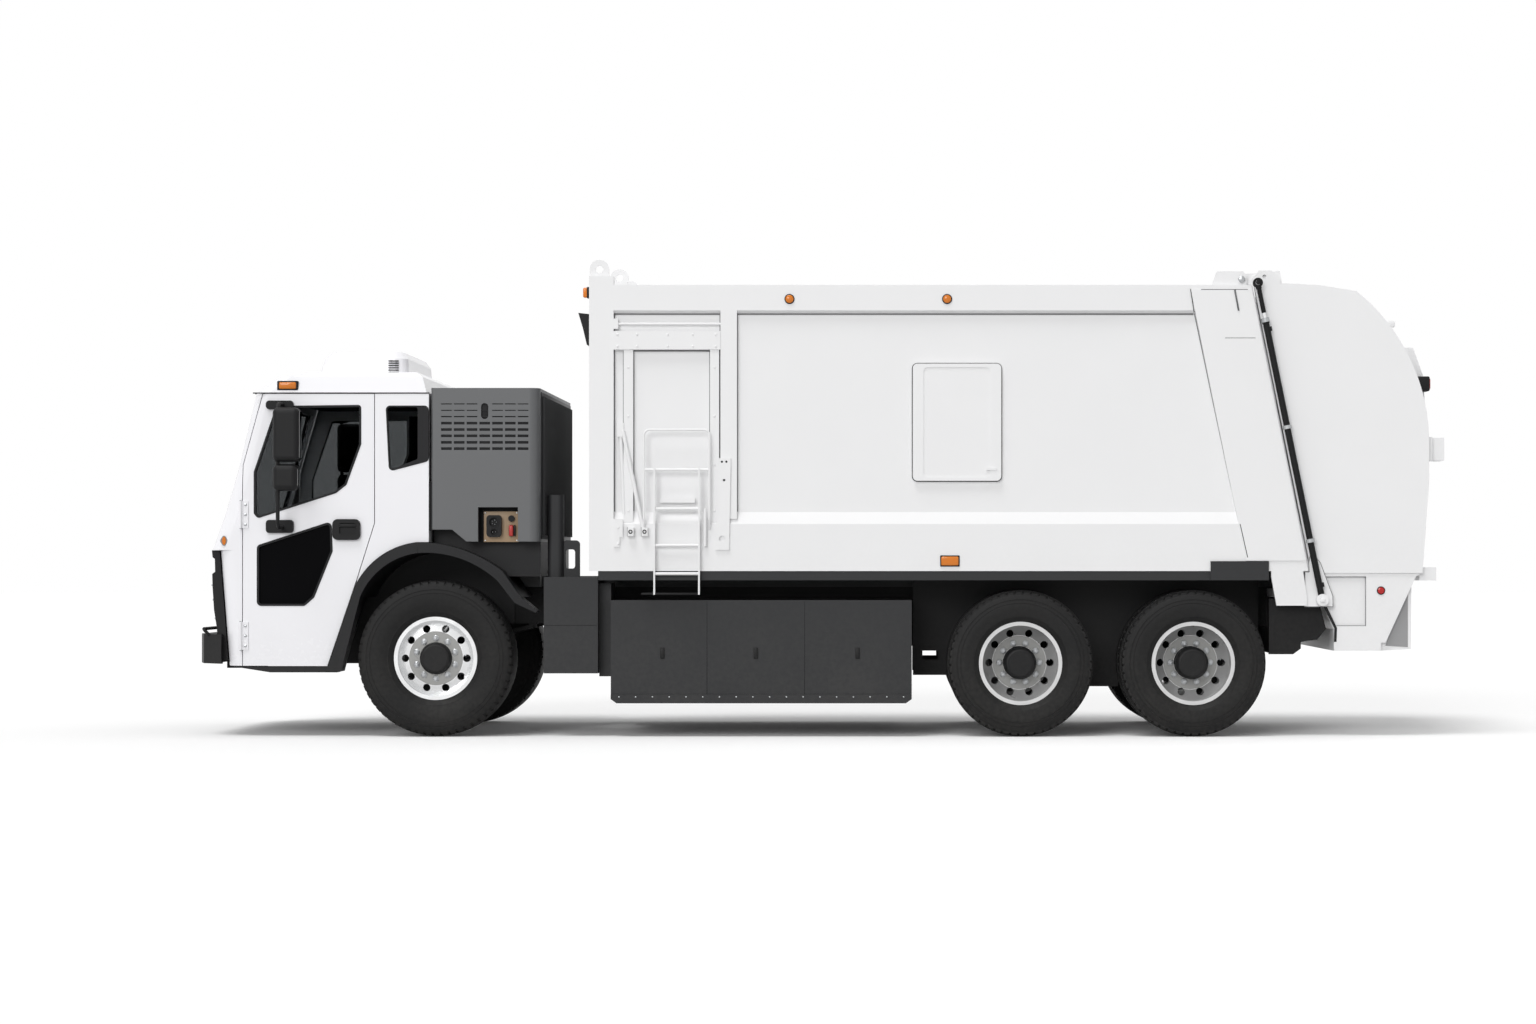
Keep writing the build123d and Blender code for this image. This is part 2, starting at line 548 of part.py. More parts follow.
def knuckle():
    # the stub axle: a fork round the axle's end on the kingpin, the spindle and the steering arm
    low, high = axleEndZ[0] - forkGap, axleEndZ[1] + forkGap
    foot, top = low - forkPlate[0], high + forkPlate[1]
    shape = upright(Pos(0, kingpinY) * Circle(pinR), foot, top)
    for z0, z1 in ((foot, low), (high, top)):
        shape += block(-60, 60, kingpinY - 50, kingpinY + 95, z0, z1)
    shape += block(-60, 60, kingpinY + 55, kingpinY + 95, foot, top)
    shape += crossPin(0, frontTyreR, spindleR - runFit, kingpinY + 60, frontTrackHalf + 110)
    return shape + block(-30, 230, kingpinY - 60, kingpinY - 10, foot, foot + 40)


def rearWheels():
    # twin tyres on two rims whose discs meet at the mounting plane
    tyres = [Pos(0, 0, offset) * tyreRing(rearTyreR, rearTyreW, rearRimW) for offset in (dualOffset, -dualOffset)]
    outerRim = Pos(0, 0, dualOffset) * rimRing(rearRimW) + Pos(0, 0, 20) * wheelDisc(0, 96)
    innerRim = Rot(180, 0, 0) * outerRim
    hub = turned([(halfshaftR + 3, -60), (hubR + 30, -60), (hubR + 30, 10), (hubR, 30), (hubR, 170),
                  (hubR - 14, 205), (0, 205), (0, 80), (halfshaftR + 3, 80)])
    wheel = outerRim + innerRim - Cylinder(hubR - 2, 200) + hub
    for row, x in enumerate(rearAxleXs, 1):
        for side, sign in (("left", -1), ("right", 1)):
            flip = Rot(180, 0, 0) if sign < 0 else Rot(0, 0, 0)
            placed = [onAxle(x, sign * dualPlaneY, rearTyreR, flip * shape) for shape in tyres + [wheel]]
            save(f"tyres_rear{row}_{side}", *placed[:2])
            save(f"wheels_rear{row}_{side}", placed[2])


# ---------------------------------------------------------------- body
def sideWall():
    # one side: top chord, set-in sheet, sloping ledge, lower rail, the rear bolster and its hinge ears
    section = [(halfWidth, bodyTopZ), (halfWidth, chordZ), (sheetY, chordZ - 20), (sheetY, sheetFootZ),
               (halfWidth, railTopZ), (halfWidth, bodyFloorZ), (wallInnerY, bodyFloorZ), (wallInnerY, bodyTopZ)]
    wall = along(outline(section), postX[1], 4000)
    wall += block(-703, -585, sheetY, halfWidth, 1562, chordZ)
    bolster = sideways(outline([(2667, 3207), (4000, 3207), (4000, 1263), (3064, 1263)]),
                       sheetY - 5, halfWidth + bolsterProud)
    wall = wall + bolster - behindSeam(0, 1000, 1400) - behindSeam(-cylinderRoom, 1205, 1400)
    ears = sideways(outline([(2827, bodyTopZ), (2860, 3339), (hingeX + 10, 3339), (3070, 3310),
                             (3070, bodyTopZ)]), postInnerY + 47, postInnerY + 72)
    inner = sideways(outline([(2827, bodyTopZ + 1.5), (2860, 3339), (hingeX + 10, 3339), (3070, 3310),
                              (3070, bodyTopZ + 1.5)]), postInnerY - 30, postInnerY)
    pin = crossPin(hingeX, hingeZ, hingePinR, postInnerY - 35, postInnerY + 82)
    bridge = block(2850, 2900, postInnerY - 30, postInnerY + 72, bodyTopZ + 6, 3300)
    return wall + ears + inner + pin + bridge


def bodyWalls():
    wall = sideWall()
    x0, x1, z0, z1, edgeR = 675.0, 1310.0, 1836.0, 2676.0, 34.0
    cover = sideways(fillet(outline([(x0, z1), (x1, z1), (x1, z0), (x0, z0)]).vertices(), edgeR),
                     -sheetY - 34, -sheetY)
    rimSide, rimEnd = 78.0, 26.0
    field = outline([(x0 + rimSide, z1 - rimEnd), (x1 - rimSide, z1 - rimEnd), (x1 - rimSide, z0 + rimEnd),
                     (x0 + rimSide, z0 + rimEnd)])
    cover -= sideways(fillet(field.vertices(), edgeR), -sheetY - 40, -sheetY - 28)
    latch = block(x1 - 110, x1 - 36, -sheetY - 40, -sheetY - 30, 1912, 1930)
    save("body_side_walls", other(wall) + cover + latch, wall)

    roof = along(outline([(-wallInnerY, bodyTopZ - 50), (wallInnerY, bodyTopZ - 50), (wallInnerY, bodyTopZ),
                          (0, bodyTopZ + 14), (-wallInnerY, bodyTopZ)]), postX[1], 4000)
    save("body_roof", roof - behindSeam(0, -1300, 1300))
    floor = block(postX[1], 4000, -wallInnerY, wallInnerY, bodyFloorZ, bodyFloorZ + bodyFloorThick)
    save("body_floor", floor - behindSeam(0, -1300, 1300))


def bodyFront():
    panel = block(-1600, -1540, -postInnerY, postInnerY, bodyFloorZ, bodyTopZ)
    for y in (-700, -240, 240, 700):
        panel += block(-1644, -1600, y - 40, y + 40, bodyFloorZ, bodyTopZ)
    post = block(*postX, postInnerY, halfWidth, bodyFloorZ, postTopZ)
    lugX, lugZ = -1573.0, 3353.0
    lug = sideways(Pos(lugX, lugZ) * Circle(lugR)
                   + outline([(lugX - 69, 3290), (lugX + 69, 3290), (lugX + 69, lugZ), (lugX - 69, lugZ)]),
                   halfWidth - 60, halfWidth - 60 + lugThick)
    post += lug
    post -= crossPin(lugX, lugZ, lugHoleR, 1100, 1300)
    header = block(-1540, postX[1], -postInnerY, postInnerY, bodyTopZ - 50, bodyTopZ)
    footer = block(-1540, postX[1], -postInnerY, postInnerY, bodyFloorZ, bodyFloorZ + bodyFloorThick)
    save("body_front_wall", panel + header + footer + post + other(post))


def bodySills():
    sillY = halfWidth - 5
    grid = block(-1580, 3221, sillY - 75, sillY, sillBottomZ, bodyFloorZ)
    grid += block(-1580, 3420, *armY, railTop, bodyFloorZ)
    for x in (-1500, -900, -300, 300, 900, 1560, 2068, 2600, 3160):
        grid += block(x - 35, x + 35, 0, sillY, sillBottomZ, bodyFloorZ)
    # the angle that carries the rear mudguard
    grid += block(2808, 3225, sillY, halfWidth + 16, sillBottomZ, bodyFloorZ)
    grid += block(2808, 3225, halfWidth, halfWidth + 16, bodyFloorZ, 1260)
    save("body_sills", grid + other(grid))


def wheelLiners():
    # upright sheets between the frame and the twin tyres, slotted over the axles
    foot, low, x0, x1 = 600.0, 423.0, 680.0, 3221.0
    middle = sum(rearAxleXs) / 2
    sheet = outline([(x0, sillBottomZ), (x1, sillBottomZ), (x1, foot), (middle + 150, foot), (middle + 120, 340),
                     (middle - 120, 340), (middle - 150, foot), (x0 + 265, foot), (x0 + 265, low), (x0, low)])
    sheet -= outline([(x0 + 70, 602), (x0 + 184, 602), (x0 + 184, 537), (x0 + 70, 537)])
    for x in rearAxleXs:                            # room for the axle tube to pass
        sheet -= Pos(x, rearTyreR) * Circle(100) + outline([(x - 100, rearTyreR), (x + 100, rearTyreR),
                                                            (x + 100, 300), (x - 100, 300)])
    y0 = dualPlaneY - dualOffset - rearTyreW / 2 - 43
    flange = block(x0, x1, y0, y0 + 25, sillBottomZ - 10, sillBottomZ)
    pair("wheel_liners", sideways(sheet, y0, y0 + 12) + flange)


def rearSkirts():
    skirt = sideways(outline([(3244, bodyFloorZ), (3471, bodyFloorZ), (3500, 1010), (3500, 941), (3282, 941),
                              (3244, 1149)]), skirtY, halfWidth)
    bracket = sideways(outline([(3516, 1185), (3512, 1250), (3530, 1333), (3600, 1250), (3690, 1010), (3690, 931),
                                (3486, 931), (3486, 1185)]), skirtY, skirtY + 13)
    pin = crossPin(*barrelBase, basePinR, skirtY, cylinderY + 36)
    link = block(3300, 3420, railOuterY, skirtY, 1000, 1060)
    pair("rear_skirts", skirt + bracket + pin + link)


def accessLadder():
    # the driver's side only: a frame in the set-in panel, its rod and struts, and the ladder below
    face, sheet = -halfWidth, -sheetY
    frame = block(-1469, -703, face - 6, sheet, 2776, 2909)
    for x0, x1 in ((-1397, -1329), (-778, -713)):
        frame += block(x0, x1, face + 4, sheet, 1540, 2780)
    frame += bar((-1460, face + 16, 2961), (-703, face + 16, 2961), 9)
    frame += block(-1469, -1436, face, sheet, 2925, 2998)
    frame += bar((-1419, face + 12, 2214), (-1394, face + 12, 1600), 13)
    frame += block(-1440, -1396, face - 6, sheet, 2150, 2250)
    frame += bar((-1400, face - 6, 2190), (-1252, face - 22, 1470), 14)
    for x in (-1366, -1266):
        frame += block(x, x + 44, face - 42, face + 2, 1440, 1500)
    frame += sideways(outline([(-1469, 1562), (-1401, 1562), (-1401, 1430), (-1424, 1430), (-1424, 1361),
                               (-1469, 1361)]), face - 12, face)

    strap = sideways(outline([(-718, 1998), (-628, 1998), (-640, 1340), (-738, 1340), (-738, 1480),
                              (-722, 1600)]), face - 14, face)
    for x, z, radius in ((-692, 1972, 8), (-660, 1972, 8), (-676, 1840, 10), (-690, 1420, 22)):
        strap -= crossPin(x, z, radius, face - 20, face + 20)

    railY = face - 38
    hoop = tube([(-1247, face, 1490), (-1247, railY, 1560), (-1247, railY, 2200), (-780, railY, 2200),
                 (-780, railY, 1560), (-780, face, 1490)], 8, 40)
    ladder = block(-1135, -885, face, sheet, 1679, 1712)
    for x in (-1174, -854):
        ladder += block(x - 6, x + 6, face - 52, face - 16, 1020, 1927)
        for z in (1300, 1470):
            ladder += block(x - 6, x + 6, face - 18, face + 2, z, z + 24)
    for z in (1170, 1372, 1634):
        ladder += bar((-1174, face - 34, z), (-854, face - 34, z), 11)
    ladder += bar((-1247, face - 34, 1914), (-780, face - 34, 1914), 11)
    ladder += block(-1265, -849, face - 46, face - 26, 1020, 1032)
    grab = bar((-811, face - 22, 1368), (-811, face - 22, 1640), 11)
    for z in (1380, 1510):
        grab += block(-820, -802, face - 24, face + 2, z, z + 16)
    save("access_ladder", frame + strap + hoop + ladder + grab - other(sideWall()))


# ---------------------------------------------------------------- tailgate
def gateOutline():
    # the tailgate's side view: a curved back over the loading sill and the hopper
    seamTop, seamFoot = (seamX(bodyTopZ, gateGap), bodyTopZ), (seamX(1178, gateGap), 1178)
    crown, heel = (3861, 3198), (4382, 2088)
    return drawn(Polyline(seamTop, (3349, 3254), (3595, 3241), crown),
                 ThreePointArc(crown, (4205, 2790), heel),
                 Polyline(heel, (4382, 1841), (4335, 1178), (4288, 1149), (4070, 675), (3700, 675), (3706, 775),
                          seamFoot, seamTop))


def tailgate():
    lowerTop, lowerY = 1174.0, gateSideY[1] - 12
    side = sideways(gateOutline(), *gateSideY)
    side -= block(3400, 4400, lowerY, 1300, 500, lowerTop)             # the lower side is set in
    side -= block(3400, 3927, lowerY - 16, 1300, 798, 1147)            # and has a pocket in it
    ear = outline([(hingeX - 30, hingeZ + hingeEarR), (3314, 3346), (3330, 3235), (3150, 3235), (3125, 3246),
                   (hingeX, hingeZ - hingeEarR)])
    ear = ear + Pos(hingeX, hingeZ) * Circle(hingeEarR)
    side += sideways(ear, gateSideY[0] + 2, gateSideY[0] + 26)
    side -= crossPin(hingeX, hingeZ, hingePinR + runFit, 1100, 1300)
    horn = sideways(outline([(3123, 3203), (3113, 3290), (3160, 3346), (3250, 3346), (3314, 3290),
                             (3314, 3203)]), gateSideY[0] + 26, gateSideY[1])
    horn -= sideways(outline([(3000, 3000), (seamX(3000, gateGap), 3000), (seamX(3238, gateGap), 3238),
                              (3000, 3238)]), 1100, 1300)
    horn -= crossPin(3199, 3303, 14, 1100, 1300)
    pair("tailgate_sides", side + horn)

    # the back: a rolled sheet with a raised middle panel, open below the lamp bar for loading
    inside = gateSideY[0]
    whole = gateOutline()
    wall = whole - offset(whole, -40)
    wall -= outline([(3000, 3400), (seamX(3400, 150), 3400), (seamX(0, 150), 0), (3000, 0)])
    wall -= outline([(3000, 0), (5000, 0), (5000, 1980), (3000, 1980)])
    raised = (offset(whole, 34) - whole) & outline([(4100, 2160), (4600, 2160), (4600, 2790), (4100, 2790)])
    lampBar = block(4370, 4412, -inside, inside, 1981, 2153)
    lampBox = block(4412, halfLength, 880, 1110, 1985, 2149)
    save("tailgate_shell", sideways(wall, -inside, inside) + sideways(raised, -620, 620) + lampBar
         + lampBox + other(lampBox))
    hopper()


def hopper():
    # the trough that the blade sweeps, its front ramp, the sheets under and behind it, sill and step
    inside = gateSideY[0]
    px, pz = bladePivot[0] + slideTravel * slideDir[0], bladePivot[1] + slideTravel * slideDir[1]
    trough = Pos(px, pz) * (Circle(troughR + 25) - Circle(troughR))
    trough = trough & outline([(3714, 600), (3714, 1050), (px, pz), (5000, 1170), (5000, 600)])
    ramp = outline([(3537, 1178), (3555, 1178), (3722, 793), (3726, 616), (3700, 616), (3702, 772)])
    under = outline([(3700, 616), (4037, 616), (4258, 628), (4258, 650), (4060, 650), (4037, 675), (3700, 675)])
    behind = outline([(4238, 628), (4258, 628), (4262, 1160), (4240, 1160)])
    ledge = outline([(px + troughR - 1, 1155), (4330, 1155), (4330, 1178), (px + troughR - 1, 1178)])
    step = outline([(4319, 1121), (4440, 1121), (4440, 1216), (4319, 1216)])
    shape = Part()
    for face in (trough, ramp, under, behind, ledge, step):
        shape += sideways(face, -inside, inside)
    cheek = outline([(3990, 630), (4246, 636), (4246, 1158), (4150, 1158)]) - Pos(px, pz) * Circle(troughR + 10)
    cheek = sideways(cheek, inside - 12, inside)
    cheek += block(3700, 4037, inside - 5, inside + 38, 616, 675)      # the sole under each side
    save("hopper", shape + cheek + other(cheek))


def steps(origin, ahead, aside):
    # a point measured along a slanting piece and across it
    (x0, z0), (dx, dz) = origin, ahead
    tx, tz = aside
    return lambda d, s: (x0 + dx * d + tx * s, z0 + dz * d + tz * s)


def packer():
    # the slide runs in the tailgate's slanting guides and carries the hinged sweep blade
    inside = gateSideY[0] - 22
    ux, uz = -slideDir[0], -slideDir[1]
    at = steps(bladePivot, (ux, uz), (uz, -ux))
    half, foot, head = 26.0, 60.0, 680.0
    plate = sideways(outline([at(foot, -half), at(head, -half), at(head, half), at(foot, half)]), -inside, inside)
    for y in (-1000, -500, 0, 500, 1000):
        web = outline([at(0, -34), at(foot + 30, -half), at(foot + 30, half), at(0, 34)])
        plate += sideways(web + Pos(*bladePivot) * Circle(34), y - 15, y + 15)
    for d in (150.0, 560.0):                        # the guide shoes
        shoe = outline([at(d - 60, -half), at(d + 60, -half), at(d + 60, half), at(d - 60, half)])
        shoe = sideways(shoe, inside, gateSideY[0] - 6)
        plate += shoe + other(shoe)
    save("packer_slide", plate - crossPin(*bladePivot, hingePinR + runFit, -1100, 1100))

    lean = math.atan2(100, 457)
    dx, dz = -math.sin(lean), -math.cos(lean)
    at = steps(bladePivot, (dx, dz), (-dz, dx))
    blade = sideways(outline([at(48, -30), at(bladeReach - 30, -14), at(bladeReach, -8), at(bladeReach, 8),
                              at(bladeReach - 60, 30), at(48, 34)]), -inside, inside)
    for y in (-960, -540, -460, -40, 40, 460, 540, 960):
        lug = outline([at(0, -32), at(70, -30), at(70, 34), at(0, 32)]) + Pos(*bladePivot) * Circle(32)
        blade += sideways(lug, y - 12, y + 12)
    save("sweep_blade", blade + crossPin(*bladePivot, hingePinR, -1040, 1040))


def ejector():
    # the push panel: a curved plate on a sled, with ribs to its back
    face = outline([(-900, 1262), (-900, 1500), (-1010, 2000), (-1080, 2500), (-1090, 3120), (-1120, 3120),
                    (-1110, 2500), (-1040, 2000), (-930, 1500), (-930, 1290), (-1420, 1290), (-1420, 1262)])
    half = wallInnerY - 20
    panel = sideways(face, -half, half)
    for y in (-900, -300, 300, 900):
        panel += sideways(outline([(-1420, 1290), (-930, 1290), (-930, 1500), (-1040, 2000), (-1110, 2500),
                                   (-1110, 2700), (-1400, 1500)]), y - 10, y + 10)
    save("ejector_panel", panel)


def liftCylinders():
    base = Vector(barrelBase[0], cylinderY, barrelBase[1])
    eye = Vector(rodEye[0], cylinderY, rodEye[1])
    reach = (eye - base).length
    line = Plane(origin=base, x_dir=(0, 1, 0), z_dir=eye - base)

    def ringAt(start, length, outer, inner=0.0):
        up = (Align.CENTER, Align.CENTER, Align.MIN)
        ring = line * Pos(0, 0, start) * Cylinder(outer, length, align=up)
        return ring - line * Pos(0, 0, start - 1) * Cylinder(inner, length + 2, align=up) if inner else ring

    bore, boreStart, pistonAt = barrelR - 6, 500.0, 1500.0
    body = ringAt(30, barrelLength - 30, barrelR) - ringAt(boreStart, barrelLength, bore)
    body += ringAt(barrelLength - 40, 40, barrelR + 4, rodR + runFit)
    for start in (420.0, 1250.0):                   # clamping collars
        body += ringAt(start, 26, barrelR + 6, barrelR - 1)
    body += sideways(Pos(*barrelBase) * Circle(basePinR + 20), cylinderY - 26, cylinderY + 26)
    body -= crossPin(*barrelBase, basePinR + runFit, cylinderY - 54, cylinderY + 46)
    leftRight("lift_barrel", body)
    rod = ringAt(pistonAt, reach - pistonAt, rodR) + ringAt(pistonAt, 40, bore - runFit)
    rod += sideways(Pos(*rodEye) * Circle(32), cylinderY - 20, cylinderY + 20)
    rod += crossPin(*rodEye, 16, cylinderY - 48, cylinderY + 32)
    leftRight("lift_rod", rod)


cab()
door()
mirrors()
cabInside()
chassisFrame()
bumper()
grillePanel()
frontFenders()
powerBox()
batteryBoxes()
frontAxle()
tandem()
driveMotor()
frontWheels()
rearWheels()
bodyWalls()
bodyFront()
bodySills()
wheelLiners()
rearSkirts()
accessLadder()
tailgate()
packer()
ejector()
liftCylinders()
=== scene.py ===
import json
import math

import bmesh
import bpy
import numpy as np
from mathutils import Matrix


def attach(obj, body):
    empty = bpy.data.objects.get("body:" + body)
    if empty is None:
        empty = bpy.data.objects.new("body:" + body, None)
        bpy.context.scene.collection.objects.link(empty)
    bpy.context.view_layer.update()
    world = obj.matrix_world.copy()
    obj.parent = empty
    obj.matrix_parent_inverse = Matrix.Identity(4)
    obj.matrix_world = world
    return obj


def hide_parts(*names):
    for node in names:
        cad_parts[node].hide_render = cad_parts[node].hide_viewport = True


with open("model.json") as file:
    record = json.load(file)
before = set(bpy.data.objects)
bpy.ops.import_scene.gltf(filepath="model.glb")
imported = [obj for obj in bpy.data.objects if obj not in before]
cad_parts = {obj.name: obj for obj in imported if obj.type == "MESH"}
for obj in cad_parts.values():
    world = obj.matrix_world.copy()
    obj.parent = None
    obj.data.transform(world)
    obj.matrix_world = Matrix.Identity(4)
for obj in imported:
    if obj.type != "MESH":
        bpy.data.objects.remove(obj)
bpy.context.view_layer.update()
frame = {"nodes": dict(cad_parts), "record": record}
nodes = frame["nodes"]
sides = {"left": -1, "right": 1}
print("frame loaded:", len(nodes), "nodes")


def surface(x, y, z, wrapRows=False, wrapCols=False):
    # one surface: the grid's points row by row, and quads between neighbouring points
    points = np.stack(np.broadcast_arrays(x, y, z), -1).astype(float)
    rows, cols = points.shape[:2]
    a, b = np.mgrid[:rows - (not wrapRows), :cols - (not wrapCols)]
    a2, b2 = (a + 1) % rows, (b + 1) % cols
    quads = np.stack([a * cols + b, a2 * cols + b, a2 * cols + b2, a * cols + b2], -1)
    return points.reshape(-1, 3), quads.reshape(-1, 4).tolist()


def endFaces(count, across):
    # two flat ends for a surface of count points in rows of so many: its first row and its last
    index = np.arange(count).reshape(-1, across)
    return [index[0][::-1].tolist(), index[-1].tolist()]


def makePiece(name, parts, look, body="chassis", smooth=35.0):
    # a piece: surfaces joined, doubles merged, faces outwards, edges sharp by angle
    points, faces, start = [], [], 0
    for p, f in parts:
        points.append(p)
        faces += [[k + start for k in face] for face in f]
        start += len(p)
    mesh = bpy.data.meshes.new(name)
    mesh.from_pydata(np.concatenate(points).tolist(), [], faces)
    bm = bmesh.new()
    bm.from_mesh(mesh)
    bmesh.ops.remove_doubles(bm, verts=bm.verts, dist=1e-5)
    bmesh.ops.recalc_face_normals(bm, faces=bm.faces)
    for face in bm.faces:
        face.smooth = True
    for edge in bm.edges:
        edge.smooth = len(edge.link_faces) == 2 and edge.calc_face_angle(0) < math.radians(smooth)
    bm.to_mesh(mesh)
    bm.free()
    piece = bpy.data.objects.new(name, mesh)
    bpy.context.scene.collection.objects.link(piece)
    mesh.materials.append(looks[look])
    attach(piece, body)
    return piece


def circle(count):
    return np.linspace(0, 2 * math.pi, count, endpoint=False)


def lathe(profile, centre, axis="y", sign=-1, steps=32, start=0.0, closed=False):
    # a profile of (radius, height) turned round an axis: a circle of that radius at that height
    r, h = np.array(profile, float).T
    t = start + circle(steps)[:, None]
    a, b, c = r * np.cos(t), r * np.sin(t), sign * h + 0 * t
    order = {"y": (a, c, b), "x": (c, a, b), "z": (a, b, c)}[axis]
    return surface(*[part + o for part, o in zip(order, centre)], wrapRows=True, wrapCols=closed)


def band(r0, r1, h0, h1, centre, axis="y", sign=-1, steps=32):
    # a square-edged ring between two radii and two heights
    return lathe([(r0, h0), (r1, h0), (r1, h1), (r0, h1)], centre, axis, sign, steps, closed=True)


def slab(x0, x1, y0, y1, z0, z1, radius=0.002, steps=2):
    # a box with rounded edges: a small sphere's points, each pushed out to its own corner of the box
    low, high = np.minimum((x0, y0, z0), (x1, y1, z1)), np.maximum((x0, y0, z0), (x1, y1, z1))
    centre, half = (low + high) / 2, (high - low) / 2
    radius = min(radius, *(half * 0.999))
    quarter = np.linspace(0, math.pi / 2, steps + 1)
    lon = np.concatenate([quarter + k * math.pi / 2 for k in range(4)])[:, None]
    lonSide = np.repeat(np.arange(4), steps + 1)
    lat = np.concatenate([quarter - math.pi / 2, quarter])
    latSide = np.repeat([-1, 1], steps + 1)
    sx = np.array([1, -1, -1, 1])[lonSide][:, None]
    sy = np.array([1, 1, -1, -1])[lonSide][:, None]
    flat = half - radius
    x = centre[0] + sx * flat[0] + radius * np.cos(lon) * np.cos(lat)
    y = centre[1] + sy * flat[1] + radius * np.sin(lon) * np.cos(lat)
    z = centre[2] + latSide * flat[2] + radius * np.sin(lat) + 0 * x
    points, faces = surface(x, y, z, wrapRows=True)
    index = np.arange(len(points)).reshape(len(lon), -1)
    return points, faces + [index[:, 0][::-1].tolist(), index[:, -1].tolist()]


def pipe(path, radius, count=12, closed=False):
    # a round tube along a path: a circle carried on frames that turn as little as they can
    path = np.array(path, float)
    step = np.roll(path, -1, 0) - np.roll(path, 1, 0)
    if not closed:
        step[0], step[-1] = path[1] - path[0], path[-1] - path[-2]
    step /= np.linalg.norm(step, axis=1)[:, None]
    side = np.zeros_like(step)
    guide = np.eye(3)[2 if abs(step[0][2]) < 0.9 else 0]
    for k, direction in enumerate(step):
        guide = guide - direction * guide.dot(direction)
        guide /= np.linalg.norm(guide)
        side[k] = guide
    other = np.cross(step, side)
    t = circle(count)[None, :, None]
    r = np.broadcast_to(radius, len(path))[:, None, None]
    ring = path[:, None] + r * (np.cos(t) * side[:, None] + np.sin(t) * other[:, None])
    points, faces = surface(*np.moveaxis(ring, -1, 0), wrapRows=closed, wrapCols=True)
    return points, faces + ([] if closed else endFaces(len(points), count))


def roundCorners(points, radius, steps=5):
    # a closed outline whose corners are arcs: each arc touches its two sides
    points = np.array(points, float)
    out = []
    for before, corner, after in zip(np.roll(points, 1, 0), points, np.roll(points, -1, 0)):
        a, b = before - corner, after - corner
        la, lb = np.linalg.norm(a), np.linalg.norm(b)
        a, b = a / la, b / lb
        half = math.acos(np.clip(a.dot(b), -1, 1)) / 2
        reach = min(radius / math.tan(half), 0.45 * la, 0.45 * lb)
        r = reach * math.tan(half)
        middle = corner + (a + b) / np.linalg.norm(a + b) * r / math.sin(half)
        first, last = corner + a * reach - middle, corner + b * reach - middle
        turn = math.atan2(first[0] * last[1] - first[1] * last[0], first.dot(last))
        for s in np.linspace(0, turn, steps + 1):
            out.append(middle + [first[0] * math.cos(s) - first[1] * math.sin(s),
                    first[0] * math.sin(s) + first[1] * math.cos(s)])
    return np.array(out)


def grown(outline, distance):
    # the outline moved outwards by a distance along its corners' middle directions
    ahead = np.roll(outline, -1, 0) - outline
    ahead /= np.linalg.norm(ahead, axis=1)[:, None] + 1e-12
    normal = np.stack([ahead[:, 1], -ahead[:, 0]], 1)
    both = normal + np.roll(normal, 1, 0)
    both /= (np.sum(both * np.roll(normal, 1, 0), 1))[:, None] + 1e-12
    area = np.sum(outline[:, 0] * np.roll(outline[:, 1], -1) - np.roll(outline[:, 0], -1) * outline[:, 1])
    return outline + both * distance * (1 if area > 0 else -1)


def layered(stack, **wrap):
    # outlines drawn in X and Z, each at its own Y, joined one to the next
    x, z = np.moveaxis(np.array([outline for outline, _ in stack]), -1, 0)
    return surface(x, np.array([[y] for _, y in stack]), z, wrapCols=True, **wrap)


def ringPlate(outer, inner, y0, y1):
    # a flat frame between two outlines with as many points, from y0 to y1
    return layered([(outer, y0), (outer, y1), (inner, y1), (inner, y0)], wrapRows=True)


def plate(outline, y0, y1, bevel=0.0):
    # a flat plate, its outer edges cut back by a small bevel on the y1 side
    outline = np.array(outline, float)
    stack = [(outline, y0), (outline, y1 - math.copysign(bevel, y1 - y0))]
    if bevel:
        stack.append((grown(outline, -bevel), y1))
    points, faces = layered(stack)
    return points, faces + endFaces(len(points), len(outline))


def flipped(parts):
    # the same surfaces on the truck's other side
    return [(p * [1, -1, 1], f) for p, f in parts]


def bothSides(parts):
    return parts + flipped(parts)


def makePair(name, parts, look, body="chassis"):
    makePiece(name, bothSides(parts), look, body)


def spun(parts, centre, angle, axis="z"):
    # surfaces turned about an upright or a crosswise axis through a point
    c, s = math.cos(angle), math.sin(angle)
    turn = np.array([[c, -s, 0], [s, c, 0], [0, 0, 1]] if axis == "z" else [[c, 0, s], [0, 1, 0], [-s, 0, c]])
    return [((p - centre) @ turn.T + centre, f) for p, f in parts]


def studs(places, radius, height, axis="y"):
    # low domed heads: a flat foot, an upright edge and a crown that closes at its middle
    profile = [(0, -0.001), (radius, -0.001), (radius, 0.35 * height), (0.8 * radius, 0.8 * height),
               (0.4 * radius, 0.97 * height), (0, height)]
    return [lathe(profile, place, axis, -1, 12) for place in places]


def setInputs(tree, inputs, values):
    # each input is fed by a socket or set to a value
    for label, value in values.items():
        if isinstance(value, bpy.types.NodeSocket):
            tree.links.new(value, inputs[label])
        else:
            inputs[label].default_value = value


def addNode(tree, kind, values=(), **settings):
    # a node with its settings and inputs, known by its outputs
    node = tree.nodes.new(f"ShaderNode{kind}")
    for key, value in settings.items():
        setattr(node, key, value)
    setInputs(tree, node.inputs, dict(values))
    return node.outputs


def maths(tree, operation, a, b, **settings):
    return addNode(tree, "Math", {0: a, 1: b}, operation=operation, **settings)[0]


def noiseOf(tree, place, scale, detail):
    return addNode(tree, "TexNoise", {"Vector": place, "Scale": scale, "Detail": detail})[0]


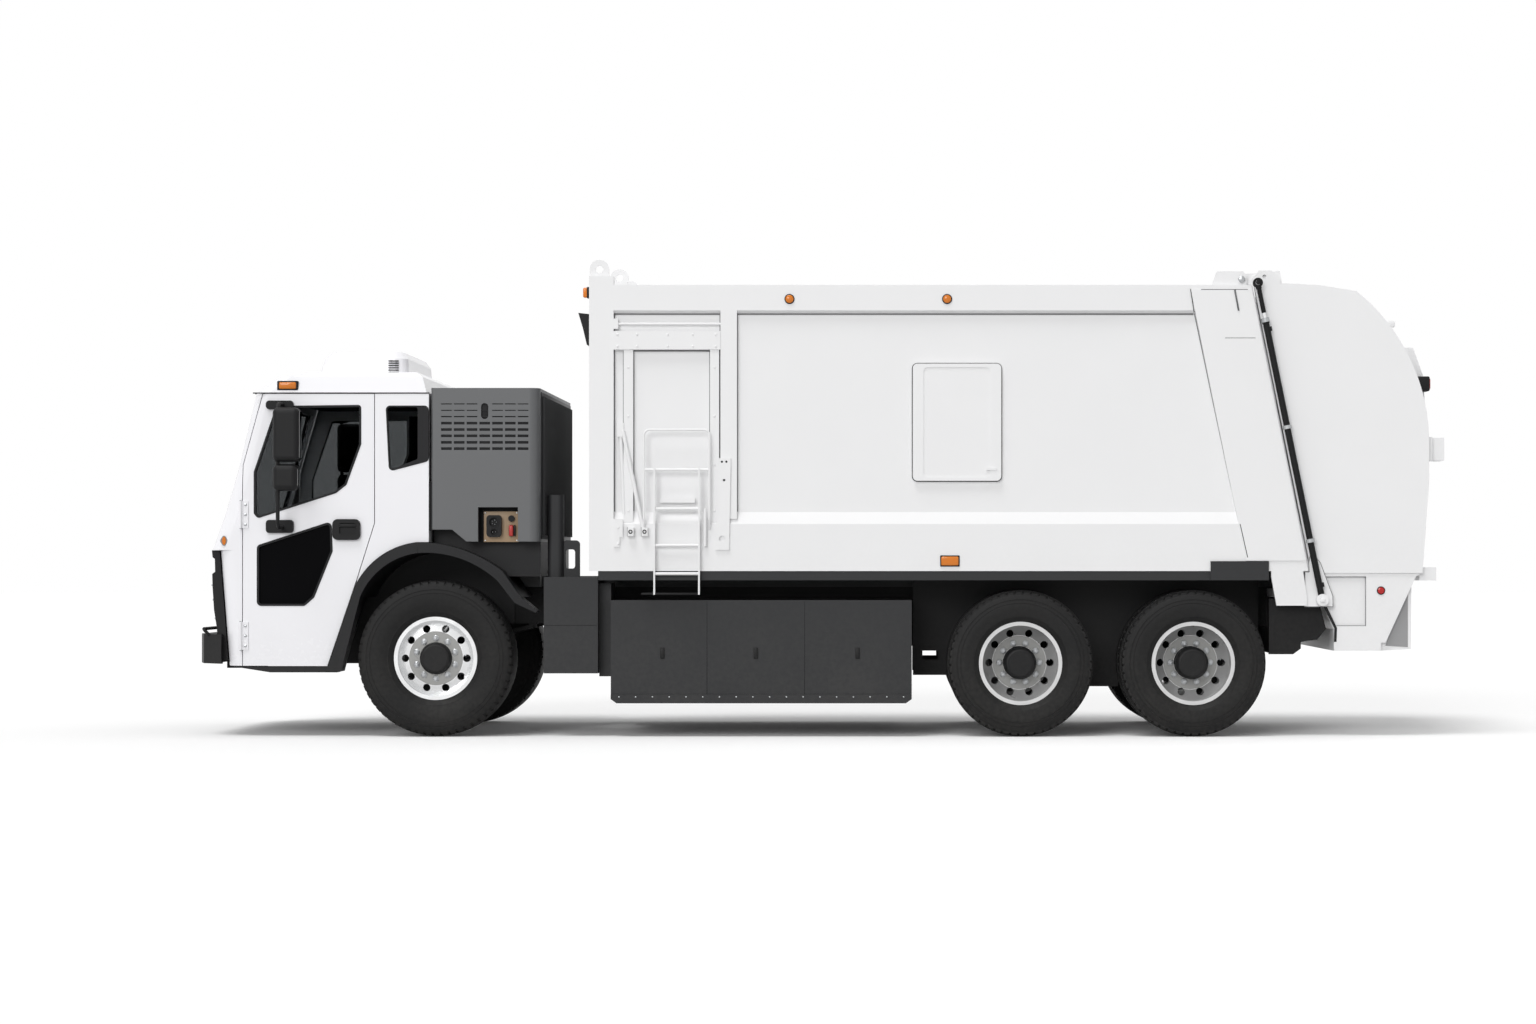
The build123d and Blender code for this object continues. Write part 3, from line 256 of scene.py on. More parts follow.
def newGroup(name, inputs, outputs):
    # a node group's sockets: an input is a colour where its default is one, else a number
    group = bpy.data.node_groups.new(name, "ShaderNodeTree")
    for label, default in inputs.items():
        kind = "NodeSocketColor" if isinstance(default, tuple) else "NodeSocketFloat"
        group.interface.new_socket(label, in_out="INPUT", socket_type=kind).default_value = default
    for label, kind in outputs.items():
        group.interface.new_socket(label, in_out="OUTPUT", socket_type=f"NodeSocket{kind}")
    place = addNode(group, "TexCoord")["Object"]
    return group, group.nodes.new("NodeGroupInput").outputs, group.nodes.new("NodeGroupOutput").inputs, place


def buildDust():
    # road dust: thickest near the ground, broken up by two sizes of noise
    group, given, out, place = newGroup(
        "roadDust", {"Colour": (1, 1, 1, 1), "Dust": (0.3, 0.28, 0.25, 1), "Roughness": 0.4, "Amount": 0.3,
                     "Reach": 1.2}, {"Colour": "Color", "Roughness": "Float"})
    height = addNode(group, "SeparateXYZ", {0: place})["Z"]
    low = addNode(group, "MapRange", {0: height, 2: given["Reach"], 3: 1.0, 4: 0.0})[0]
    broken = maths(group, "MULTIPLY", noiseOf(group, place, 2.3, 5.0), noiseOf(group, place, 34.0, 6.0))
    spread = addNode(group, "MapRange", {0: broken, 1: 0.12, 2: 0.38})[0]
    mask = maths(group, "MULTIPLY", spread, low)
    share = maths(group, "MULTIPLY", mask, given["Amount"], use_clamp=True)
    tint = addNode(group, "Mix", {0: share, 6: given["Colour"], 7: given["Dust"]}, data_type="RGBA")
    rough = addNode(group, "Mix", {0: share, 2: given["Roughness"], 3: 0.9})
    setInputs(group, out, {"Colour": tint[2], "Roughness": rough[0]})
    return group


def buildTone():
    # uneven tone: a colour drifts a little lighter and darker, and so does its roughness
    group, given, out, place = newGroup(
        "unevenTone", {"Colour": (1, 1, 1, 1), "Roughness": 0.4, "Drift": 0.06, "Scale": 3.0},
        {"Colour": "Color", "Roughness": "Float"})
    swing = maths(group, "SUBTRACT", noiseOf(group, place, given["Scale"], 4.0), 0.5)
    scaled = maths(group, "MULTIPLY", swing, given["Drift"])
    colour = addNode(group, "VectorMath", {0: given["Colour"], 1: maths(group, "ADD", scaled, 1.0)},
                     operation="MULTIPLY")
    setInputs(group, out, {"Colour": colour[0], "Roughness": maths(group, "ADD", given["Roughness"], scaled)})
    return group


def buildRipple():
    # a fine surface texture as a normal: paint ripple, cast skin or moulded grain by its scale
    group, given, out, place = newGroup("fineRipple", {"Scale": 90.0, "Detail": 2.0, "Strength": 0.1,
            "Height": 0.001}, {"Normal": "Vector"})
    noise = noiseOf(group, place, given["Scale"], given["Detail"])
    bump = addNode(group, "Bump", {"Height": noise, "Strength": given["Strength"],
            "Distance": given["Height"]})
    setInputs(group, out, {"Normal": bump[0]})
    return group


groups = {"dust": buildDust(), "tone": buildTone(), "ripple": buildRipple()}
looks = {}


def useGroup(tree, name, values):
    return addNode(tree, "Group", values, node_tree=groups[name])


def toned(tree, colour, roughness, drift, scale):
    return useGroup(tree, "tone", {"Colour": (*colour, 1), "Roughness": roughness, "Drift": drift,
            "Scale": scale})


def newMaterial(name):
    # a material with its nodes and its shader's inputs, kept among the looks
    material = looks[name] = bpy.data.materials.new(name)
    material.use_nodes = True
    return material.node_tree, material.node_tree.nodes["Principled BSDF"].inputs


def finish(name, colour, roughness, metallic=0.0, coat=0.0, dust=0.0, reach=1.2, drift=0.05, tone=2.5,
           grain=90.0, detail=2.0, depth=0.08, specular=0.5):
    # a painted, moulded or metal surface: colour, uneven tone, road dust and a fine texture
    tree, shader = newMaterial(name)
    last = toned(tree, colour, roughness, drift, tone)
    if dust:
        last = useGroup(tree, "dust", {"Colour": last["Colour"], "Roughness": last["Roughness"],
                "Amount": dust, "Reach": reach})
    texture = useGroup(tree, "ripple", {"Scale": grain, "Detail": detail, "Strength": depth,
            "Height": 0.0006})
    setInputs(tree, shader, {"Base Color": last["Colour"], "Roughness": last["Roughness"],
            "Normal": texture["Normal"], "Metallic": metallic, "Coat Weight": coat,
            "Coat Roughness": 0.08, "Specular IOR Level": specular})


def glassFinish(name, colour, roughness=0.02, transmission=1.0, ior=1.45):
    # clear or tinted glass and lenses, their tint a little uneven
    tree, shader = newMaterial(name)
    even = toned(tree, colour, roughness, 0.04, 5.0)
    setInputs(tree, shader, {"Base Color": even["Colour"], "Roughness": roughness,
            "Transmission Weight": transmission, "IOR": ior})


def weaveFinish(name, colour):
    # seat cloth: two crossed sets of fine threads over a soft tone
    tree, shader = newMaterial(name)
    place = addNode(tree, "TexCoord")["Object"]
    threads = [addNode(tree, "TexWave", {"Vector": place, "Scale": 160.0}, bands_direction=way)[1]
               for way in "YZ"]
    even = toned(tree, colour, 0.85, 0.2, 14.0)
    bump = addNode(tree, "Bump", {"Height": maths(tree, "MULTIPLY", *threads), "Strength": 0.5,
            "Distance": 0.001})
    setInputs(tree, shader, {"Base Color": even["Colour"], "Roughness": even["Roughness"], "Normal": bump[0],
            "Sheen Weight": 0.3})


finish("cabPaint", (0.885, 0.882, 0.908), 0.26, coat=0.3, dust=0.08, reach=1.0, drift=0.02, grain=60.0,
       depth=0.05)
finish("bodyPaint", (0.835, 0.835, 0.84), 0.4, coat=0.08, dust=0.1, reach=1.6, drift=0.03, grain=40.0,
       detail=3.0, depth=0.1)
# dark paint; also laid on the power box's rear plate as painted shade
finish("darkPaint", (0.0185, 0.019, 0.0205), 0.5, dust=0.05, reach=1.3, drift=0.08, grain=300.0,
       depth=0.06, specular=0.3)
finish("greyPaint", (0.108, 0.111, 0.115), 0.42, grain=300.0)
finish("blackPaint", (0.006, 0.006, 0.0065), 0.52, dust=0.04, drift=0.15, grain=200.0, depth=0.1,
       specular=0.18)
# near-black trim; also laid as painted shade round the ladder's clevises
finish("trim", (0.0075, 0.0075, 0.008), 0.5, dust=0.04, reach=1.0, drift=0.08, grain=700.0, detail=3.0,
       depth=0.2, specular=0.2)
finish("fender", (0.007, 0.007, 0.0078), 0.48, dust=0.04, reach=1.0, drift=0.08, grain=600.0,
       detail=3.0, depth=0.2, specular=0.25)
finish("interior", (0.014, 0.014, 0.016), 0.7, drift=0.1, grain=600.0, depth=0.3, specular=0.2)
finish("rubber", (0.0065, 0.0065, 0.0068), 0.62, dust=0.045, reach=1.4, drift=0.12, grain=250.0,
       detail=4.0, depth=0.12, specular=0.22)
finish("polished", (0.76, 0.765, 0.77), 0.22, metallic=0.9, dust=0.02, reach=1.4, drift=0.2, tone=9.0,
       grain=500.0, depth=0.05)
finish("satinAlloy", (0.25, 0.25, 0.243), 0.42, metallic=0.7, drift=0.12, tone=14.0, grain=420.0,
       depth=0.15)
finish("brushedAlloy", (0.62, 0.62, 0.62), 0.3, metallic=0.45, dust=0.05, reach=1.4, drift=0.2, tone=9.0,
       grain=500.0, depth=0.05)
# painted shade: a grey laid in thin lines where shade falls, in crevices, along edges and round recesses
finish("shadeLineGrey", (0.2, 0.2, 0.205), 0.7, drift=0.15, tone=6.0)
# painted shade: a grey for the hopper's cheeks, which stand in shadow, with road dust on it
finish("hopperShadeGrey", (0.3, 0.3, 0.305), 0.5, dust=0.2, reach=1.6, drift=0.1)
finish("castSteel", (0.007, 0.007, 0.0075), 0.5, dust=0.03, drift=0.15, grain=120.0, detail=4.0,
       depth=0.25, specular=0.22)
finish("zinc", (0.4, 0.41, 0.42), 0.32, metallic=1.0, drift=0.15, tone=20.0, grain=200.0)
finish("chrome", (0.8, 0.8, 0.81), 0.08, metallic=1.0, drift=0.03)
finish("tanPanel", (0.36, 0.25, 0.15), 0.5, drift=0.1, tone=8.0)
finish("redPlastic", (0.42, 0.02, 0.015), 0.35, drift=0.06, tone=12.0)
# near-black for seals and rims; also laid as painted shade in the box's slots, round the hatch, along the
# gate's seam, on the bolster's lines and in the strap's holes
finish("seal", (0.008, 0.008, 0.009), 0.6, drift=0.1, grain=400.0, depth=0.2, specular=0.25)
finish("darkPane", (0.0025, 0.0025, 0.003), 0.16, grain=30.0, depth=0.02, specular=0.03)
weaveFinish("seatCloth", (0.025, 0.025, 0.03))
glassFinish("glass", (0.24, 0.248, 0.252), ior=1.02)
glassFinish("lens", (0.92, 0.93, 0.94), 0.05)
glassFinish("amber", (0.9, 0.25, 0.015), 0.15, transmission=0.25)
glassFinish("red", (0.62, 0.012, 0.012), 0.15, transmission=0.25)

# a slot's look bears its name, apart from two
slotLooks = {"seat_fabric": "seatCloth", "rod": "chrome"}
for part in frame["record"]["subparts"]:
    materials = nodes[part["node"]].data.materials
    materials.clear()
    slot = part["material_slot"]
    materials.append(looks[slotLooks.get(slot, slot.replace("_paint", "Paint"))])
nodes["front_fenders"].data.materials[0] = looks["fender"]
for row in ("rear1", "rear2"):
    for side in sides:
        nodes[f"wheels_{row}_{side}"].data.materials[0] = looks["brushedAlloy"]
print("materials laid on the frame's nodes")


tyreShapes = {
    "front": {"radius": 0.562, "half": 0.21, "rimHalf": 0.165, "treadHalf": 0.172, "pitches": 58,
        "grooves": (0.038, 0.108)},
    "rear": {"radius": 0.526, "half": 0.14, "rimHalf": 0.105, "treadHalf": 0.108, "pitches": 54,
        "grooves": (0.024, 0.07)},
    "grooveDepth": 0.013, "grooveHalf": 0.005, "crown": 0.007, "liner": 0.052,
    "notchDepth": 0.011, "notchSpan": (0.05, 0.34), "notchRows": 4,
    # (below the tread's top, inside the widest place), down the outer wall
    "wall": ((0.031, 0.019), (0.034, 0.0165), (0.05, 0.0105), (0.066, 0.007), (0.068, 0.0088),
        (0.073, 0.0084), (0.075, 0.0052), (0.092, 0.0024), (0.094, 0.0042), (0.098, 0.004), (0.1, 0.0016)),
    # (radius, outside the rim's edge), round the bead
    "bead": ((0.346, 0.03), (0.342, 0.0285), (0.337, 0.0285), (0.333, 0.0245), (0.315, 0.013),
        (0.3045, 0.003), (0.303, -0.01), (0.2864, -0.015), (0.2864, -0.04)),
    "rimRadius": 0.2857,
}
wheelRows = {
    "front": {"kind": "front", "tyre": "tyre_front", "wheel": "wheel_front",
        "places": ((-2.75, 1.03, 0.562),)},
    "rear1": {"kind": "rear", "tyre": "tyres_rear1", "wheel": "wheels_rear1",
        "places": ((1.449, 1.1, 0.526), (1.449, 0.758, 0.526))},
    "rear2": {"kind": "rear", "tyre": "tyres_rear2", "wheel": "wheels_rear2",
        "places": ((2.688, 1.1, 0.526), (2.688, 0.758, 0.526))},
}


def tyreSurface(kind, centre, sign):
    # a closed tyre: its section is a radius for each width, and in the shoulders that radius drops by
    # the notch depth over part of every pitch of the tread
    s, t = tyreShapes[kind], tyreShapes
    big, half, rim, tread = s["radius"], s["half"], s["rimHalf"], s["treadHalf"]
    deep, g, edge = t["grooveDepth"], t["grooveHalf"], big - t["crown"]
    inner, middle = big - t["liner"], (big + t["rimRadius"]) / 2
    rows = [(big, 0.0)]
    for at in s["grooves"]:
        top = big - t["crown"] * (at / tread) ** 2
        rows += [(top, at - g), (top - deep, at - 0.7 * g), (top - deep, at + 0.7 * g), (top, at + g)]
    rows.append((edge, tread - 0.032))
    firstNotch = len(rows)
    rows += [(edge, tread - 0.03), (edge - 0.001, tread), (big - 0.016, tread + 0.012)]
    rows += [(big - drop, half - inside) for drop, inside in t["wall"]]
    rows += [(middle + 0.015, half - 0.0006), (middle - 0.02, half - 0.0012), (middle - 0.045, half - 0.006)]
    rows += [(radius, rim + outside) for radius, outside in t["bead"]]
    rows += [(middle, half - 0.026), (inner, half - 0.058), (inner, 0.0)]
    r, h = np.array(rows).T
    notched = np.zeros(len(r))
    notched[firstNotch:firstNotch + t["notchRows"]] = 1
    r, h, notched = [np.concatenate([v, way * v[-2:0:-1]]) for v, way in ((r, 1), (h, -1), (notched, 1))]
    low, high = t["notchSpan"]
    part = np.array([0.0, low, low + 0.04, high, high + 0.04])
    angle = ((np.arange(s["pitches"])[:, None] + part) * 2 * math.pi / s["pitches"]).ravel()[:, None]
    cut = np.tile([0, 0, 1, 1, 0], s["pitches"])[:, None] * notched * t["notchDepth"]
    x = centre[0] + (r - cut) * np.cos(angle)
    z = centre[2] + (r - cut) * np.sin(angle)
    return surface(x, centre[1] + sign * h, z, wrapRows=True, wrapCols=True)


for row, w in wheelRows.items():
    for side, sign in sides.items():
        parts = [tyreSurface(w["kind"], (x, sign * y, z), sign) for x, y, z in w["places"]]
        node, body = f"{w['tyre']}_{side}", f"{w['wheel']}_{side}"
        tyre = makePiece(f"tread_{row}_{side}", parts, "rubber", body)
        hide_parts(node)
print("tyres made")

hubShapes = {
    "front": {"middle": 1.03, "flat": 0.142, "nutStart": 18.0,
        "cap": [(0, 0.1965), (0.0986, 0.1965), (0.1106, 0.1502), (0.1106, 0.1425), (0.1155, 0.1425),
        (0.1155, 0.15), (0.1128, 0.153), (0.1118, 0.17), (0.105, 0.193), (0.098, 0.2005),
        (0.086, 0.2035), (0.084, 0.202), (0.03, 0.2025), (0, 0.2025)]},
    "rear": {"middle": 0.929, "flat": 0.02, "nutStart": 0.0,
        "cap": [(0, 0.2055), (0.0966, 0.2055), (0.1106, 0.1705), (0.1106, 0.0225), (0.119, 0.0225),
        (0.119, 0.034), (0.114, 0.038), (0.114, 0.162), (0.118, 0.165), (0.118, 0.176),
        (0.108, 0.196), (0.099, 0.208), (0.086, 0.211), (0.084, 0.2095), (0.03, 0.21), (0, 0.21)]},
    "nutCircle": 0.1445, "nutCount": 10, "nutRadius": 0.0172, "nutHeight": 0.021,
    "discInner": 0.113, "discOuter": 0.1935,
    "washer": ((0, 0), (0.0225, 0), (0.0225, 0.002), (0.019, 0.0045), (0, 0.0045)),
    "stud": ((0, -0.001), (0.0095, -0.001), (0.0095, 0.006), (0.008, 0.0075), (0, 0.0075)),
    "valve": ((0.199, -0.03, 0.02), (0.214, 0.004, 0.022), (0.217, 0.028, 0.022)),
}


def hubPieces(kind, centre, sign, body, label):
    # a black hub cap, ten nuts on their washers, the satin flat of the disc and the tyre's valve
    s, t = hubShapes[kind], hubShapes
    x, y, z = centre
    makePiece(f"hub_cap_{label}", [lathe(s["cap"], centre, "y", sign, 72)], "castSteel", body, smooth=30)
    flat, foot, r, h = s["flat"], s["flat"] + 0.0018, t["nutRadius"], t["nutHeight"]
    inner, outer = t["discInner"], t["discOuter"]
    ring = [(inner, flat - 0.001), (outer, flat - 0.001), (outer, flat + 0.0006), (outer - 0.0015, foot),
            (inner, foot)]
    makePiece(f"disc_flat_{label}", [lathe(ring, centre, "y", sign, 96, closed=True)], "satinAlloy", body)
    top = foot + h
    washer = [(radius, foot + height) for radius, height in t["washer"]]
    nut = [(0, foot + 0.004), (r, foot + 0.004), (r, top - 0.002), (0.85 * r, top), (0, top)]
    stud = [(radius, top + height) for radius, height in t["stud"]]
    parts = []
    for k in range(t["nutCount"]):
        a = math.radians(s["nutStart"] + 360 * k / t["nutCount"])
        at = (x + t["nutCircle"] * math.cos(a), y, z + t["nutCircle"] * math.sin(a))
        parts += [lathe(washer, at, "y", sign, 20), lathe(nut, at, "y", sign, 6, a),
                  lathe(stud, at, "y", sign, 12)]
    makePiece(f"wheel_nuts_{label}", parts, "zinc", body, smooth=25)
    valve = [(x + dx, y + sign * (flat + dy), z + dz) for dx, dy, dz in t["valve"]]
    makePiece(f"valve_{label}", [pipe(valve, 0.0045, 8)], "zinc", body)


for side, sign in sides.items():
    for row, w in wheelRows.items():
        x, _, z = w["places"][0]
        centre = (x, sign * hubShapes[w["kind"]]["middle"], z)
        hubPieces(w["kind"], centre, sign, f"{w['wheel']}_{side}", f"{row}_{side}")
print("hubs made")

doorShapes = {
    "upper": [(-3.887, 2.364), (-3.295, 2.371), (-3.295, 2.101), (-3.4, 1.813), (-3.472, 1.757),
        (-4.023, 1.58), (-4.045, 1.605), (-4.045, 1.899)],
    "lower": [(-4.023, 1.365), (-3.507, 1.533), (-3.5, 1.333), (-3.631, 1.005), (-3.695, 0.949),
        (-4.023, 0.949)],
    "upperCorner": 0.012, "lowerCorner": 0.022, "skin": -1.19, "pane": -1.166,
    "cup": [(-3.487, 1.56), (-3.291, 1.56), (-3.291, 1.413), (-3.487, 1.413)],
    "hollow": [(-3.44, 1.535), (-3.315, 1.535), (-3.315, 1.45), (-3.44, 1.45)],
    "lining": [(-4.105, 1.545), (-4.023, 1.558), (-3.47, 1.735), (-3.385, 1.8), (-3.275, 2.1),
        (-3.275, 2.4), (-3.2, 2.4), (-3.2, 1.55), (-3.33, 1.13), (-3.35, 1.0),
        (-3.56, 0.58), (-4.105, 0.58)],
    "hingeBolts": [(-4.115, -1.198, z) for z in (1.522, 1.594, 1.666, 0.652, 0.724, 0.796)],
    "hingeRods": ((1.49, 1.698), (0.616, 0.831)),
}


def doorSide():
    # left-hand parts of the door: seals, dark lower pane, handle, hinge bolts and lining
    d = doorShapes
    skin, pane = d["skin"], d["pane"]
    upper, lower = roundCorners(d["upper"], d["upperCorner"]), roundCorners(d["lower"], d["lowerCorner"])
    seals = [ringPlate(grown(o, 0.011), grown(o, -0.004), pane - 0.001, skin - 0.003) for o in (upper, lower)]
    outer = grown(roundCorners(d["cup"], 0.036), 0.0015)
    inner = grown(roundCorners(d["hollow"], 0.02), -0.0008)
    handle = [ringPlate(outer, inner, skin + 0.001, skin - 0.0255), plate(inner, skin - 0.009, skin - 0.0112),
              slab(-3.4405, -3.3145, skin - 0.0245, skin - 0.0075, 1.5025, 1.5275, 0.006, 3)]
    rods = [pipe([(-4.149, -1.204, z0), (-4.149, -1.204, z1)], 0.0065) for z0, z1 in d["hingeRods"]]
    lining = [plate(d["lining"], -1.1285, -1.116, 0.004),
              slab(-3.98, -3.52, -1.117, -1.08, 1.3, 1.36, 0.018, 3),
              slab(-4.02, -3.7, -1.117, -1.07, 0.64, 0.86, 0.02, 3)]
    return {"door_seals": (seals, "seal"),
            "lower_pane": ([plate(grown(lower, -0.002), pane - 0.0005, pane - 0.004)], "darkPane"),
            "door_handle": (handle, "trim"),
            "hinge_bolts": (studs(d["hingeBolts"], 0.011, 0.006) + rods, "zinc"),
            "door_lining": (lining, "interior")}


for label, (parts, look) in doorSide().items():
    makePiece(f"{label}_left", parts, look, "door_left")
    makePiece(f"{label}_right", flipped(parts), look, "door_right")
print("door details made")

cabShapes = {
    "frontLine": ((1.34, -4.371), (1.591, -4.281), (1.925, -4.183), (2.467, -4.055)),
    "skin": -1.19, "screenHalf": 1.05, "screenHeights": (1.47, 1.591, 1.925, 2.4),
    "quarter": [(-3.103, 2.371), (-2.806, 2.371), (-2.806, 1.982), (-3.08, 1.91)],
    "glazed": [(-3.103, 2.371), (-2.875, 2.371), (-2.875, 1.99), (-3.08, 1.91)], "quarterCorner": 0.025,
    "wipers": ((-0.86, 0.66), (-0.06, 0.66)),     # each arm's foot and its blade's length
    "markerAt": (-4.271, -1.186, 1.406), "markerTurn": 15,
    "fans": (-0.33, 0.33), "fanX": -3.33, "fanRings": (0.055, 0.095, 0.135, 0.175),
    "frontStuds": ((-4.368, 1.087), (-4.361, 0.982), (-4.346, 0.848)),
    "lamps": (-0.915, -0.735, 0.735, 0.915), "lampHeight": 0.89,
}


def frontX(z):
    heights, xs = np.array(cabShapes["frontLine"]).T
    return float(np.interp(z, heights, xs))


def cabDetails():
    s, skin, side = cabShapes, cabShapes["skin"], cabShapes["screenHalf"]
    # windscreen seal: a frame that follows the front's bends, in four runs
    up = [(frontX(z) + 0.006, -side, z) for z in s["screenHeights"]]
    seal = [pipe(up + [(x, side, z) for x, _, z in up[::-1]], 0.012, 10, closed=True)]
    quarter, glazed = [roundCorners(s[name], s["quarterCorner"]) for name in ("quarter", "glazed")]
    seal += bothSides([ringPlate(grown(quarter, 0.006), grown(glazed, -0.004), skin + 0.024, skin - 0.0025)])
    seal += bothSides([slab(-4.062, -2.795, skin - 0.0035, skin + 0.004, 2.4625, 2.471, 0.001)])
    seal += [slab(-4.064, -4.052, -1.09, 1.09, 2.4625, 2.471, 0.001)]
    makePiece("cab_seals", seal, "seal")

    wipers = []
    for foot, length in s["wipers"]:
        lift = [(1.425, 0.0), (1.455, 0.06), (1.5, 0.2), (1.545, 0.36)]
        blade = [(1.515, 0.02), (1.53, 0.18), (1.545, 0.36), (1.562, 0.54), (1.58, length + 0.06)]
        for line, gap, radius, count in ((lift, 0.016, [0.01, 0.009, 0.007, 0.006], 10),
                (blade, 0.004, 0.008, 8), (blade[1:4], 0.012, 0.005, 8)):
            wipers.append(pipe([(frontX(z) - gap, foot + y, z) for z, y in line], radius, count))
        wipers.append(lathe([(0, -0.004), (0.026, -0.004), (0.024, 0.018), (0.015, 0.026), (0, 0.028)],
                (frontX(1.425), foot, 1.425), "x", -1, 24))
    makePiece("wipers", wipers, "trim")

    # corner marker lamps: an oval lens in a bright lozenge, turned with the cab's round corner
    at, turn = np.array(s["markerAt"]), math.radians(s["markerTurn"])
    lozenge = roundCorners([at[[0, 2]] + d for d in ((0, 0.05), (0.029, 0), (0, -0.05), (-0.029, 0))], 0.014)
    t = 1.57 - circle(len(lozenge))
    hole = np.stack([at[0] + 0.0145 * np.cos(t), at[2] + 0.03 * np.sin(t)], 1)
    bezel = spun([ringPlate(lozenge, hole, at[1] + 0.004, at[1] - 0.01)], at, turn)
    makePair("marker_bezels", bezel, "satinAlloy")
    makePair("corner_lamps", spun([plate(hole, at[1] + 0.002, at[1] - 0.013, 0.004)], at, turn), "amber")
    makePair("roof_lamp_frames", [slab(-3.89, -3.738, -1.1885, -1.14, 2.487, 2.555, 0.008, 3)], "trim")
    makePair("roof_lamps", [slab(-3.876, -3.752, -1.195, -1.17, 2.496, 2.546, 0.01, 3)], "amber")

    # mirrors: dark rims, and glass on the faces that look back
    makePair("mirror_rims", [slab(-3.704, -3.687, -1.43, -1.33, 1.99, 2.33, 0.006, 3),
                             slab(-3.714, -3.699, -1.43, -1.33, 1.79, 1.922, 0.006, 3)], "trim")
    makePair("mirror_glass", [slab(-3.696, -3.6862, -1.425, -1.335, 1.995, 2.325, 0.0005),
                              slab(-3.708, -3.6982, -1.425, -1.335, 1.795, 1.917, 0.0005)], "chrome")

    # louvres and fans on the roof unit
    dark = bothSides([slab(-3.165, -3.09, -0.694, -0.68, z, z + 0.007, 0.001)
                      for z in np.arange(2.64, 2.735, 0.017)])
    ring, x = circle(48), s["fanX"]
    for y in s["fans"]:
        dark += [pipe(np.stack([x + r * np.cos(ring), y + r * np.sin(ring), 2.797 + 0 * ring], 1), 0.004, 6,
                      closed=True) for r in s["fanRings"]]
        dark += [lathe([(0, 2.79), (0.03, 2.79), (0.026, 2.802), (0, 2.803)], (x, y, 0), "z", 1, 24),
                 slab(-3.515, -3.145, y - 0.005, y + 0.005, 2.7905, 2.7985, 0.001),
                 slab(-3.335, -3.325, y - 0.185, y + 0.185, 2.7905, 2.7985, 0.001)]
    makePiece("roof_unit_grilles", dark, "trim")

    # studs on the front panel's edge, and what is seen inside the headlamps
    places = [(x, y, z) for y in (-1.06, 1.06) for x, z in s["frontStuds"]]
    makePiece("front_studs", studs(places, 0.01, 0.018, "x"), "zinc")
    bowl = [(0, -4.3225), (0.062, -4.329), (0.07, -4.337), (0.073, -4.337), (0.066, -4.3275), (0, -4.321)]
    lamps = [(0, y, s["lampHeight"]) for y in s["lamps"]]
    makePiece("lamp_bowls", [lathe(bowl, lamp, "x", 1, 40) for lamp in lamps], "chrome")
    makePiece("lamp_rings", [band(0.072, 0.079, -4.33, -4.342, lamp, "x", 1, 40) for lamp in lamps], "trim")

    # dark lining inside the cab
    lining = bothSides([slab(-3.17, -2.872, -1.129, -1.12, 1.4, 1.895),
                        slab(-3.182, -3.11, -1.129, -1.12, 1.9, 2.44)])
    makePiece("cab_lining", [slab(-2.869, -2.8605, -1.12, 1.12, 1.47, 2.44),
                             slab(-3.96, -2.885, -1.118, 1.118, 2.44, 2.45, 0.003)] + lining, "interior")


cabDetails()
print("cab details made")

seatShapes = {
    "middle": 0.8, "cushionLow": (-3.828, -0.248, 1.132), "cushionHigh": (-3.392, 0.248, 1.248),
    "crown": 0.012, "pull": 0.01, "channel": 0.006,
    "backFoot": (-3.398, 1.262), "backTop": (-3.262, 1.925), "backHalf": 0.238, "backThick": 0.098,
    "cushionChannels": (-0.55, -0.2, 0.2, 0.55), "backChannels": (-0.5, -0.1, 0.3, 0.62),
    "stand": [(-3.74, 1.136), (-3.74, 0.56), (-3.612, 0.56), (-3.4, 1.125), (-3.4, 1.136)],
}


def power(v, e):
    return np.sign(v) * np.abs(v) ** e


def padSurface(size, channels):
    # a crowned pad round the origin: a rounded box given by powers of sines and cosines, its faces
    # crowned, its sides pulled in between corners, its sewn channels sunk in lines across it
    s = seatShapes
    a, b, c = (v / 2 for v in size)
    lon = circle(96)[:, None]
    lat = np.linspace(-math.pi / 2, math.pi / 2, 48)[None, :]
    u = power(np.cos(lat), 0.28) * power(np.cos(lon), 0.22)
    v = power(np.cos(lat), 0.28) * power(np.sin(lon), 0.22)
    w = power(np.sin(lat), 0.55) + 0 * u
    x = (a - s["pull"] * (1 - v ** 2) * np.abs(u)) * u
    y = (b - s["pull"] * (1 - u ** 2) * np.abs(v)) * v
    swell = (1 - u ** 4) * (1 - v ** 4)
    groove = sum(np.exp(-((u - at) / 0.025) ** 2) for at in channels)
    z = (c - s["crown"]) * w + np.sign(w) * s["crown"] * swell - np.sign(w) * s["channel"] * groove * swell
    return surface(x, y, z, wrapRows=True)


def moved(parts, offset):
    return [(p + offset, f) for p, f in parts]


def seatPieces(side, sign):
    s, y = seatShapes, sign * seatShapes["middle"]
    low, high = np.array(s["cushionLow"]), np.array(s["cushionHigh"])
    foot, top = np.array(s["backFoot"]), np.array(s["backTop"])
    cushion = [padSurface(high - low, s["cushionChannels"])]
    back = [padSurface((np.linalg.norm(top - foot), 2 * s["backHalf"], s["backThick"]), s["backChannels"])]
    back = spun(back, (0, 0, 0), math.atan2(*(top - foot)) - math.pi / 2, "y")
    x, z = (foot + top) / 2
    pads = {"cushion": (cushion, (low + high) / 2 + [0, y, 0]), "back": (back, [x, y, z])}
    for name, (parts, centre) in pads.items():
        parts = moved(parts, centre)
        pad = makePiece(f"seat_{name}_{side}", parts, "seatCloth", smooth=50)
        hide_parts("seats")
    stand = [plate(s["stand"], y - 0.188, y + 0.188, 0.004),
             slab(-3.8, -3.42, y - 0.21, y + 0.21, 1.118, 1.136, 0.006)]
    base = makePiece(f"seat_stand_{side}", stand, "interior")
    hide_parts("seats")


for side, sign in sides.items():
    seatPieces(side, sign)
print("seats made")

